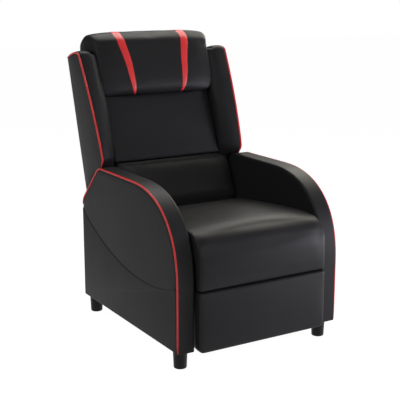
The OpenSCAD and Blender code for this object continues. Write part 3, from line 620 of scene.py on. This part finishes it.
def ramp(value, start, end):
    """A soft step from 0 at start to 1 at end."""
    t = np.clip((value - start) / (end - start), 0, 1)
    return t * t * (3 - 2 * t)


AIR_PRESSURE, CLOTH_FRAMES, CLOTH_QUALITY = 4, 20, 6
REMESH_ROUNDS, REMESH_SHARPEN = 4, 0.8


def stuff(piece, cap, held, keep, form=None, voxel=0.006, crease=0.0, rounds=14):
    """Fills a sewn cover: a fine mesh, a short cloth run under air pressure, and its rise
    capped in metres. held gives how fast each point is sewn down, from 0 to 1, keep holds
    the padding to its room, and form shapes the cover before it is filled. crease is the
    share of the fine wrinkles that stays, over rounds of smoothing."""
    cut = piece.modifiers.new("cut", "REMESH")
    cut.mode = "VOXEL"
    cut.voxel_size = voxel
    apply_modifiers(piece)
    points = read_points(piece)
    soft = smoothed(piece, points, REMESH_ROUNDS)
    points = soft + REMESH_SHARPEN * (soft - smoothed(piece, soft, REMESH_ROUNDS))
    write_points(piece, points)
    if form:
        points = form(points)
        write_points(piece, points)
    rest = points.copy()
    group = piece.vertex_groups.new(name="sewn")
    weights = np.clip(held(*points.T), 0, 1)
    for level in np.unique(np.round(weights, 1)):
        if level > 0:
            members = np.flatnonzero(np.round(weights, 1) == level).tolist()
            group.add(members, float(level), "REPLACE")
    air = piece.modifiers.new("air", "CLOTH")
    air.settings.quality = CLOTH_QUALITY
    air.settings.use_pressure = True
    air.settings.uniform_pressure_force = AIR_PRESSURE
    air.settings.vertex_group_mass = "sewn"
    air.settings.effector_weights.gravity = 0
    for number in range(1, CLOTH_FRAMES + 1):
        scene.frame_set(number)
    apply_modifiers(piece)
    scene.frame_set(1)
    moved = read_points(piece) - points
    broad = smoothed(piece, moved, rounds)
    moved = broad + crease * (moved - broad)
    far = np.linalg.norm(moved, axis=1)
    share = cap * np.tanh(far / cap) / np.maximum(far, TINY * MM)
    points = rest + moved * (share * (1 - weights))[:, None]
    piece.vertex_groups.clear()
    write_points(piece, keep(points))
    finer = piece.modifiers.new("finer", "SUBSURF")
    finer.levels = finer.render_levels = 1
    apply_modifiers(piece)


def smoothed(piece, field, rounds):
    """A field of vectors on the piece's points, each averaged with its neighbours."""
    pairs = np.empty(2 * len(piece.data.edges), dtype=np.int64)
    piece.data.edges.foreach_get("vertices", pairs)
    first, second = pairs.reshape(-1, 2).T
    count = np.bincount(pairs, minlength=len(field))[:, None]
    for _ in range(rounds):
        total = np.zeros_like(field)
        for k in range(3):
            total[:, k] = (np.bincount(first, field[second, k], len(field))
                           + np.bincount(second, field[first, k], len(field)))
        field = 0.5 * field + 0.5 * total / np.maximum(count, 1)
    return field


def read_points(piece):
    points = np.empty(len(piece.data.vertices) * 3)
    piece.data.vertices.foreach_get("co", points)
    return points.reshape(-1, 3)


def write_points(piece, points):
    piece.data.vertices.foreach_set("co", np.ascontiguousarray(points).ravel())
    piece.data.update()


def apply_modifiers(piece):
    graph = bpy.context.evaluated_depsgraph_get()
    made = bpy.data.meshes.new_from_object(piece.evaluated_get(graph))
    old = piece.data
    piece.modifiers.clear()
    piece.data = made
    made.name = piece.name
    bpy.data.meshes.remove(old)
    made.polygons.foreach_set("use_smooth", [True] * len(made.polygons))


cushion_leather = shade_leather("cushion_leather", (0.0160, 0.0160, 0.0170, 1), 0.44)

SEAT_HALF_W, SEAT_SLICES = 254.5, 30
SEAT_SWELL, SEAT_CROWN, SEAT_CORNER_DROP, SEAT_FLARE = 0.009, 0.007, 0.010, 0.018
SEAT_SIDE_X, SEAT_FACE_X, SEAT_FACE_Y = 0.2575, 0.2605, -0.42
SEAT_ROOM_Y, SEAT_ROOM_Z = (-0.459, 0.112), (0.2755, 0.5)
seat_side = smooth_line([
    (34, 278), (18, 277.6), (4, 278), (0.8, 283), (0, 310), (0, 350), (1, 385),
    (5, 411), (13, 433), (26, 449), (45, 460), (72, 466.5), (115, 469.5), (180, 467),
    (260, 461), (340, 454), (420, 446), (500, 438), (535, 433), (551, 423), (554, 400),
    (548, 376), (530, 371.6), (300, 371.6), (60, 371.6), (38, 371), (35.5, 350), (35, 300)])
seat = prism(seat_side, -SEAT_HALF_W + 1, SEAT_HALF_W - 1, SEAT_SLICES)


def seat_form(points):
    """Lets the front and the top swell between the sides, and drops the front corners."""
    x, y, z = points.T
    share = np.abs(x) / (SEAT_HALF_W * MM)
    front = ramp(-y, 0.375, 0.425)
    top = ramp(z, 0.39, 0.43)
    y = y - SEAT_SWELL * front * (1 - share ** 2) * ramp(z, 0.275, 0.33)
    z = z + top * (SEAT_CROWN * (1 - share ** 2) * ramp(-y, -0.14, 0.2) - 0.002 * share ** 12)
    corner = ramp(share, 0.82, 1.0) ** 2 * ramp(-y, 0.37, 0.44) * ramp(z, 0.40, 0.45)
    return np.stack([x * (1 + SEAT_FLARE * front), y, z - SEAT_CORNER_DROP * corner], axis=1)


def seat_held(x, y, z):
    """Holds the underside, and less firmly the rear, the side seams and the front's hem."""
    under = (z < 0.374) & (y > -0.41)
    rear = 0.8 * ramp(y, 0.085, 0.1)
    boxing = 0.7 * ramp(np.abs(x), 0.249, 0.2525) * ramp(z, 0.43, 0.45)
    hem = 0.95 * ramp(-z, -0.288, -0.281)
    return np.where(under, 1.0, rear + boxing + hem)


def seat_keep(points):
    """Holds the padding between the arms; the front face has a little more room."""
    x, y, z = points.T
    side = np.where(y < SEAT_FACE_Y, SEAT_FACE_X, SEAT_SIDE_X)
    return np.stack([np.clip(x, -side, side), np.clip(y, *SEAT_ROOM_Y),
                     np.clip(z, *SEAT_ROOM_Z)], axis=1)


seat_cover = finish_piece("seat_cover", seat, cushion_leather, "seat",
                          ["seat_cushion", "seat_front_pad"])
stuff(seat_cover, cap=0.005, held=seat_held, keep=seat_keep, form=seat_form, rounds=40)

# Footrest pad. A shallow foam pad in the same leathercloth, stapled to the footrest's
# board; its lower corners are rounded and its face swells a little.

PAD_SIZE, PAD_MID, PAD_FACE_Y = (511, 56.4, 210.5), (0, -414.8, 168.6), -432
PAD_LOW_R, PAD_EDGE_R = 17, 5
PAD_HALF_W, PAD_MID_Z, PAD_HALF_H, PAD_SWELL, PAD_FLARE = 0.2555, 0.1686, 0.1053, 0.008, 0.014
PAD_ROOM = (-260.5, -457, 60), (260.5, -385.8, 275)


def inside(low, high):
    """Keeps points between two corners given in mm."""
    return lambda points: np.clip(points, np.array(low) * MM, np.array(high) * MM)


def block(size, centre):
    """A box, by its size and centre in mm."""
    shape = bmesh.new()
    bmesh.ops.create_cube(shape, size=1)
    bmesh.ops.scale(shape, vec=[a * MM for a in size], verts=shape.verts)
    bmesh.ops.translate(shape, vec=[a * MM for a in centre], verts=shape.verts)
    return shape


pad = block(PAD_SIZE, PAD_MID)
long_edges = [e for e in pad.edges if abs(e.verts[0].co.y - e.verts[1].co.y) > 0.01]
for is_low, radius in ((True, PAD_LOW_R), (False, PAD_EDGE_R)):
    round_edges(pad, [e for e in long_edges if e.is_valid
                      and (e.verts[0].co.z < 0.1) == is_low], radius, 5)
round_edges(pad, [e for e in pad.edges if all(v.co.y < PAD_FACE_Y * MM for v in e.verts)],
            PAD_EDGE_R)


def footrest_form(points):
    """Swells the face from its rim to its middle, and flares it a little."""
    x, y, z = points.T
    share = np.abs(x) / PAD_HALF_W
    front = ramp(-y, 0.395, 0.42)
    high = np.abs(z - PAD_MID_Z) / PAD_HALF_H
    y = y - front * PAD_SWELL * (1 - share ** 2) * (1 - high ** 4)
    return np.stack([x * (1 + PAD_FLARE * front), y, z], axis=1)


def footrest_held(x, y, z):
    """Holds the rear, on its board, and less firmly the upper and lower edges."""
    return (np.where(y > -0.3895, 1.0, 0.0) + 0.9 * ramp(z, 0.265, 0.270)
            + 0.9 * ramp(-z, -0.073, -0.067))


footrest_cover = finish_piece("footrest_cover", pad, cushion_leather, "footrest",
                              ["footrest_pad"])
stuff(footrest_cover, cap=0.004, held=footrest_held, keep=inside(*PAD_ROOM),
      form=footrest_form, voxel=0.005, rounds=40)

# Board wraps. The covers of the seat's front and of the footrest turn round the edges of
# their boards and are stapled down behind them.

WRAP_TURN, WRAP_T = 22, 1.1


def wrap_board(name, node, body, open_top):
    """The turned edge of a cover about a board, open in front, with a rim behind."""
    low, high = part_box(node)
    shape = block((high - low) / MM, (low + high) / 2 / MM)
    rear = [f for f in shape.faces if f.normal.y > 0.9]
    bmesh.ops.inset_region(shape, faces=rear, thickness=WRAP_TURN * MM, use_even_offset=True)
    gone = rear + [f for f in shape.faces
                   if f.normal.y < -0.9 or (open_top and f.normal.z > 0.9)]
    bmesh.ops.delete(shape, geom=gone, context="FACES")
    bmesh.ops.solidify(shape, geom=shape.faces, thickness=-WRAP_T * MM)
    finish_piece(name, shape, black_leather, body)


wrap_board("seat_front_wrap", "seat_front_board", "seat", True)
wrap_board("footrest_wrap", "footrest_board", "footrest", False)

# Back cushions. The upper one is a flat panel between the wings, the lower one a fuller
# lumbar roll; both are foam under leathercloth, sewn together along one straight seam.


def from_node(name):
    """A merged copy of a CAD node's mesh, to start a cover from."""
    shape = bmesh.new()
    shape.from_mesh(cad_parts[name].data)
    bmesh.ops.remove_doubles(shape, verts=shape.verts, dist=TINY)
    return shape


LEAN = math.radians(21.4)
UPPER_L, UPPER_T, UPPER_OUT, UPPER_RIM, UPPER_EDGE_R = 272, 42, -24.5, -10, 5
BACK_HALF_W, SEAM_GAP, UPPER_RISE = 234.4, 0.4, 0.006
LINING_L, LINING_UP, LINING_OUT, LINING_T = 262, 106, -41, 1.2
seam_point = np.array((0, *yz(661, 600)))
up_back = np.array((0, math.sin(LEAN), math.cos(LEAN)))
out_back = np.array((0, -math.cos(LEAN), math.sin(LEAN)))


def on_back(points):
    """Points as (across, up the back from its seam, out from its face)."""
    off = points - seam_point
    return np.stack([points[:, 0], off @ up_back, off @ out_back], axis=1)


def off_back(local):
    """The way back, from (across, up, out) to the frame."""
    return (seam_point + local[:, :1] * np.array((1, 0, 0)) + local[:, 1:2] * up_back
            + local[:, 2:] * out_back)


def lean(shape):
    """Takes a piece laid out as (across, up, out) to its place on the leaning back."""
    bmesh.ops.rotate(shape, cent=(0, 0, 0), matrix=Matrix.Rotation(math.pi / 2 - LEAN, 3, "X"),
                     verts=shape.verts)
    bmesh.ops.translate(shape, vec=seam_point, verts=shape.verts)


upper = block((2 * BACK_HALF_W, UPPER_L - 1, UPPER_T), (0, (UPPER_L + 1) / 2, UPPER_OUT))
round_edges(upper, [e for e in upper.edges if all(v.co.z > UPPER_RIM * MM for v in e.verts)],
            UPPER_EDGE_R)
lean(upper)
upper_cover = finish_piece("upper_back_cover", upper, cushion_leather, "back",
                           ["upper_back_cushion"])


def upper_keep(points):
    """Holds the padding between the wings and above the seam, and its face nearly flat."""
    local = on_back(points)
    return off_back(np.clip(local, (-BACK_HALF_W * MM, SEAM_GAP * MM, -0.2),
                            (BACK_HALF_W * MM, UPPER_L * MM, UPPER_RISE)))


def upper_held(x, y, z):
    """Holds the rear, and less firmly the sides and the seam."""
    local = on_back(np.stack([x, y, z], axis=1))
    rim = 0.9 * ramp(np.abs(x), 0.229, 0.233) + 0.9 * ramp(-local[:, 1], -0.006, -0.002)
    return np.where(local[:, 2] < -0.040, 1.0, rim)


stuff(upper_cover, cap=0.006, held=upper_held, keep=upper_keep, voxel=0.005, crease=0.2)

lining = block((2 * (BACK_HALF_W - 1), LINING_L, LINING_T), (0, LINING_UP, LINING_OUT))
lean(lining)
finish_piece("back_lining", lining, black_leather, "back")

LUMBAR_LIFT, LUMBAR_ROLL = 0.009, 0.013
LUMBAR_ROOM = (-0.2545, 0.1, 0.376), (0.2545, 0.3, 0.61)
lumbar_cover = finish_piece("lumbar_cover", from_node("lumbar_cushion"), cushion_leather,
                            "back", ["lumbar_cushion"])


def lumbar_keep(points):
    """Holds the padding to its room and below the seam."""
    local = on_back(np.clip(points, *LUMBAR_ROOM))
    local[:, 1] = np.minimum(local[:, 1], -SEAM_GAP * MM)
    return off_back(local)


def lumbar_form(points):
    """Lifts the roll to the seam above it and rounds it out just below."""
    local = on_back(points)
    up, out = local[:, 1], local[:, 2]
    near = ramp(out, -0.05, -0.02)
    local[:, 1] = up + near * LUMBAR_LIFT * ramp(up, -0.07, -0.02)
    local[:, 2] = out + near * LUMBAR_ROLL * ramp(up, -0.15, -0.05) * ramp(-up, 0.002, 0.02)
    return off_back(local)


def lumbar_held(x, y, z):
    """Holds the rear and the underside."""
    return np.where((y > 0.19 + (z - 0.4) * 0.36) | (z < 0.39), 1.0, 0.0)


stuff(lumbar_cover, cap=0.009, held=lumbar_held, keep=lumbar_keep, form=lumbar_form,
      crease=0.1, rounds=24)

# Wings. Padded sides of the back, each with a flat outer face and a soft rounded front;
# a red welt is sewn into the outer front edge and over the top.

WING_IN_X, WING_OUT_X, WING_TAPER_Z, WING_TAPER = 235, 316, 800, 0.044
WING_HEAD, WING_TOE, WING_SAG, WING_STEPS = Vector((770, 996)), Vector((616, 624)), 10, 12
WING_SLICES, WING_EDGE_R, WING_TUCK, WING_CROWN = 8, 20, 0.016, 0.006
WING_DRAW, WING_TOE_DRAW, WING_ROOM = 0.004, 0.036, ((235, 160, 474), (331, 441, 1018))
wing_run = WING_TOE - WING_HEAD
wing_sag = Vector((-wing_run.y, wing_run.x)).normalized()
wing_front = []
for k in range(WING_STEPS + 1):
    share = k / WING_STEPS
    wing_front.append(tuple(WING_HEAD + share * wing_run
                            + wing_sag * (-4 * WING_SAG * share * (1 - share))))
wing_side = ([(637, 590), (786.7, 474), (834, 731), (880.7, 985), (855, 996), (830, 1004),
              (802, 1008.5), (787, 1008), (776, 1003.5)] + wing_front[:-1]
             + [(620.9, 635.7), (619, 629.5), (619, 624), (620.2, 618.5), (622.7, 613.2)])


def wing_out_x(z):
    """The wing's outer face at a height, both in mm: it flares a little upwards."""
    return WING_OUT_X + (z - WING_TAPER_Z) * WING_TAPER


wing = prism(wing_side, WING_IN_X, WING_OUT_X, WING_SLICES)
round_edges(wing, edges_at(wing, WING_IN_X), WING_EDGE_R, 6)
for v in wing.verts:
    share = max(0, (v.co.x / MM - WING_IN_X) / (WING_OUT_X - WING_IN_X))
    v.co.x += share * (wing_out_x(v.co.z / MM) - WING_OUT_X) * MM
wing_cover = finish_piece("wing_left_cover", wing, black_leather, "back",
                          ["wing_left"])


def wing_front_y(z):
    """The y of the wing's front line at a height, both in metres."""
    line = sorted((p[1] * MM, (p[0] + SEAT_FRONT_Y) * MM) for p in wing_front)
    return np.interp(z, [p[0] for p in line], [p[1] for p in line])


def wing_rear_y(z):
    """The y of its straight rear edge."""
    return np.interp(z, [0.474, 0.985], [yz(786.7, 0)[0], yz(880.7, 0)[0]])


def wing_held(x, y, z):
    """Holds the piped seam, the part beside the cushions and the rear edge."""
    edge = np.hypot(x - wing_out_x(z / MM) * MM, y - wing_front_y(z))
    seam = np.clip(1 - (edge - 0.004) / 0.012, 0, 1)
    hidden = np.where((x < 0.2365) & (y > wing_front_y(z) + 0.045), 1.0, 0.0)
    behind = 0.9 * ramp(y, wing_rear_y(z) - 0.012, wing_rear_y(z) - 0.004)
    return seam + hidden + behind


def wing_rest_z(y):
    """The height at which the headrest's gusset lies on the wing."""
    return np.interp(y, [0.34, 0.386, 0.411, 0.437], [1.001, 0.999, 0.991, 0.981])


def wing_form(points):
    """Draws the inner front edge back, more towards the toe, as the padding thins out."""
    x, y, z = points.T
    inner_share = 1 - np.clip((x / MM - WING_IN_X) / (WING_OUT_X - WING_IN_X), 0, 1)
    near_front = ramp(wing_front_y(z) + 0.07 - y, 0, 0.07)
    low_share = np.clip((0.985 - z) / 0.34, 0, 1)
    y = y + near_front * inner_share ** 2 * (WING_DRAW + WING_TOE_DRAW * low_share)
    y = y + near_front * WING_TUCK * ramp(z, 0.79, 0.93) * ramp(-x, -0.275, -0.238)
    crown = np.clip(1 - ((x - 0.300) / 0.034) ** 2, 0, 1)
    z = z + WING_CROWN * crown * ramp(z, 0.96, 1.0)
    z = z - ramp(-x, -0.274, -0.264) * np.maximum(z - wing_rest_z(y), 0)
    return np.stack([x, y, z], axis=1)


stuff(wing_cover, cap=0.005, held=wing_held, keep=inside(*WING_ROOM), form=wing_form,
      crease=0.2)
wing_other = bmesh.new()
wing_other.from_mesh(wing_cover.data)
wing_right = finish_piece("wing_right_cover", on_side(wing_other, -1), black_leather,
                          "back", ["wing_right"], 180)
wing_other.free()

WELT_IN = 1.4
CROWN_POINT = 3  # where the outline turns from the rear edge over the top
wing_welt_line = inset(wing_side, WELT_IN)
wing_welt = welt([((wing_out_x(p[1]) - WELT_IN) * MM, *yz(*p))
                  for p in wing_welt_line[CROWN_POINT:] + wing_welt_line[:1]], PIPING_R * MM)
finish_pair("wing_piping", "welt", wing_welt, red_vinyl, "back")

# Seat apron. A strip of black cloth closes the gap between the seat and the lumbar roll,
# stapled from the seat cushion's underside to the rear rail.

APRON_SIZE, APRON_MID = (436, 48, 1.2), (0, 131, 370.2)
finish_piece("seat_apron", block(APRON_SIZE, APRON_MID), black_leather, "seat")

# Headrest. A plump pillow sewn over the top of the back, with a side gusset and a rounded
# roll; two plain red stripes like horns are sewn into its face.

HEAD_D, HEAD_Z, HEAD_L, HEAD_H, HEAD_HALF_W, HEAD_SLICES = 738, 843, 149, 235, 234.4, 24
HEAD_BULGE, HEAD_REAR_BULGE, HEAD_SPREAD, HEAD_EDGE_R = 0.018, 0.020, 0.017, 7
HEAD_HEM_DROP, HEAD_CROWN, HEAD_END_DROP = 0.008, 0.007, 0.010
HEAD_TOP_ROOM, HEAD_FACE_ROOM = 0.044, 0.020
HEAD_ROOM_Y, HEAD_ROOM_Z = (0.28, 0.462), (0.8335, 1.083)
head_shares = [(0.074, 0.004), (0.161, 0.043), (0.483, 0.074), (0.687, 0.377),
               (0.864, 0.575), (0.966, 0.638), (1, 0.719), (0.993, 0.821), (0.926, 0.915),
               (0.805, 0.979), (0.671, 1), (0.523, 0.979), (0.409, 0.906), (0.322, 0.787),
               (0.208, 0.604), (0.101, 0.413), (0.027, 0.23), (0, 0.106), (0.02, 0.034)]
head_side = smooth_line([(HEAD_D + a * HEAD_L, HEAD_Z + b * HEAD_H) for a, b in head_shares])
head = prism(inset(head_side, 1), -HEAD_HALF_W + 1, HEAD_HALF_W - 1, HEAD_SLICES)
round_edges(head, edges_at(head, 1 - HEAD_HALF_W, HEAD_HALF_W - 1), HEAD_EDGE_R)
head_cover = finish_piece("headrest_cover", head, cushion_leather, "back",
                          ["headrest_pillow"])


def head_form(points):
    """Above the wings the gussets bulge out, and the roll's ends drop a little."""
    x, y, z = points.T
    share = np.abs(x) / (HEAD_HALF_W * MM)
    over = z - wing_rest_z(y)
    above = ramp(over, 0.0, 0.006)
    bulge = HEAD_BULGE * ramp(y, 0.29, 0.34) + HEAD_REAR_BULGE * ramp(y, 0.34, 0.42)
    spread = HEAD_SPREAD * (1 - above) * ramp(wing_front_y(z) + 0.05 - y, 0, 0.02)
    x = x + np.sign(x) * (above * bulge + spread * ramp(z, 0.84, 0.86)) * share ** 8
    z = z - HEAD_HEM_DROP * ramp(-z, -0.90, -0.85) * ramp(-y, -0.345, -0.325)
    z = z + ramp(z, 1.0, 1.06) * (HEAD_CROWN * (1 - share ** 2) - HEAD_END_DROP * share ** 8)
    y = y + 0.002 * share ** 8 * ramp(-y, -0.36, -0.30)
    y = y + 0.012 * ramp(y, 0.41, 0.44) * above + 0.014 * ramp(z, 1.045, 1.078)
    return np.stack([x, y, z], axis=1)


def head_held(x, y, z):
    """Holds the rear, which lies on the back, and the end seams below the roll."""
    behind = np.where((y > 0.335 + (z - 0.86) * 0.45) & (z < 0.985), 1.0, 0.0)
    seam = 0.5 * ramp(np.abs(x), 0.226, 0.230) * ramp(0.236 - np.abs(x), 0, 0.003)
    return behind + np.where(z < 1.0, seam, 0)


def head_keep(points):
    """Holds the padding between the wings, and lets it out over them and in front."""
    x, y, z = points.T
    above = ramp(z - wing_rest_z(y), -0.001, 0.004)
    spread = ramp(wing_front_y(z) + 0.05 - y, 0, 0.02) * ramp(z, 0.84, 0.86)
    side = (HEAD_HALF_W * MM + HEAD_TOP_ROOM * above
            + HEAD_FACE_ROOM * (1 - above) * spread)
    return np.stack([np.clip(x, -side, side), np.clip(y, *HEAD_ROOM_Y),
                     np.clip(z, *HEAD_ROOM_Z)], axis=1)


stuff(head_cover, cap=0.007, held=head_held, keep=head_keep, form=head_form, crease=0.05,
      rounds=30)

# Each stripe runs from the pillow's lower edge up its face and over the roll to the rear.
# Nine points (y, z) give turns about an axis in the pillow, with a centre and half width.
stripe_centres = [0.104, 0.108, 0.113, 0.119, 0.1225, 0.1275, 0.138, 0.1425, 0.142]
stripe_halves = [0.0008, 0.006, 0.0105, 0.013, 0.0148, 0.0160, 0.0175, 0.0180, 0.018]
HEAD_AXIS_Y, HEAD_AXIS_Z, STRIPE_END, STRIPE_REACH = 0.40, 0.985, 150, 0.4
STRIPE_RISE, STRIPE_SINK, STRIPE_T, STRIPE_CELLS = 1.1, 0.25, 1.4, (8, 72)
pillow = bmesh.new()
pillow.from_mesh(head_cover.data)
pillow_tree = BVHTree.FromBMesh(pillow)
stripe_turns = [math.atan2(z - HEAD_AXIS_Z, HEAD_AXIS_Y - y) for y, z in (
    (0.305, 0.842), (0.300, 0.864), (0.298, 0.892), (0.306, 0.93), (0.320, 0.965),
    (0.329, 0.99), (0.345, 1.03), (0.362, 1.06), (0.39, 1.078))]
first, last = stripe_turns[0], math.radians(STRIPE_END)
for side, word in SIDES:
    stripe = bmesh.new()
    bmesh.ops.create_grid(stripe, x_segments=STRIPE_CELLS[0], y_segments=STRIPE_CELLS[1],
                          size=0.5)
    for v in stripe.verts:
        across, along = 2 * v.co.x, v.co.y + 0.5
        turn = first + (last - first) * along
        centre = np.interp(turn, stripe_turns, stripe_centres)
        half = np.interp(turn, stripe_turns, stripe_halves)
        out = Vector((0, -math.cos(turn), math.sin(turn)))
        origin = Vector((side * (centre + across * half), HEAD_AXIS_Y, HEAD_AXIS_Z))
        hit, normal, _, _ = pillow_tree.ray_cast(origin + out * STRIPE_REACH, -out)
        v.co = hit + normal * (STRIPE_RISE * (1 - across ** 4) - STRIPE_SINK) * MM
    bmesh.ops.solidify(stripe, geom=stripe.faces, thickness=STRIPE_T * MM)
    finish_piece(f"headrest_stripe_{word}", stripe, red_vinyl, "back", (), 60)
pillow.free()

# Rear cover and skirt. A flat leathercloth back panel, stapled round the wings' rear edges,
# with a sewn-on tail and raised seams, and a black dust cloth below it behind the base.

REAR_LOW, REAR_TOP = (297.7, 349.5, 474.0), (320.1, 443.5, 985.0)
REAR_TAIL, SEAM_OUT, SEAM_R = (250.5, 308.5, 396.0), 0.3, 1.1
SEAM_IN, SEAM_LOW, SEAM_MID, SEAM_TOP, TAIL_IN, TAIL_DOWN = 13, 0.025, 0.36, 0.972, 4, 0.87
finish_piece("rear_cover_skin", from_node("rear_cover"), side_leather, "back",
             ["rear_cover"])


def on_rear(side, up):
    """A point of a seam on the rear panel, a share of the way up it."""
    x, y, z = (a + (b - a) * up for a, b in zip(REAR_LOW, REAR_TOP))
    return side * (x - SEAM_IN) * MM, (y + SEAM_OUT) * MM, z * MM


def on_tail(side):
    """An end of the seam near the tail's lower edge."""
    y, z = (a + (b - a) * TAIL_DOWN for a, b in zip(REAR_LOW[1:], REAR_TAIL[1:]))
    return side * (REAR_TAIL[0] - TAIL_IN) * MM, (y + SEAM_OUT) * MM, z * MM


seams = bmesh.new()
for line in ([on_rear(-1, SEAM_LOW), on_rear(-1, SEAM_TOP), on_rear(1, SEAM_TOP),
              on_rear(1, SEAM_LOW), on_rear(-1, SEAM_LOW)],
             [on_tail(-1), on_tail(1)],
             [on_rear(-1, SEAM_MID), on_rear(1, SEAM_MID)]):
    gather(seams, welt(line, SEAM_R * MM))
finish_piece("rear_cover_seams", seams, black_leather, "back")


def shade_dust_cloth():
    material, shader, start, place = new_material("dust_cloth", {"Roughness": 0.9})
    dots = start.add("TexVoronoi", None, {"Vector": place, "Scale": 420}, "Distance")
    fibre = start.noise(place, 300, 4, 0.7)
    start.blend(fibre, (0.012, 0.012, 0.013, 1), (0.04, 0.04, 0.042, 1)).feed(
        shader, "Base Color")
    (dots + fibre * 0.4).dent(shader, 0.6, 0.0004)
    return material


SKIRT_HEM_IN, SKIRT_HEM_R = 2.4, 2.6
dress(["rear_skirt"], shade_dust_cloth())
skirt_low, skirt_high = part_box("rear_skirt")
skirt_y = (skirt_low[1] + skirt_high[1]) / 2
hem = welt([(side * (skirt_high[0] - SKIRT_HEM_IN * MM), skirt_y, skirt_high[2])
            for side in (-1, 1)], SKIRT_HEM_R * MM)
finish_piece("rear_skirt_hem", hem, black_leather, "base")
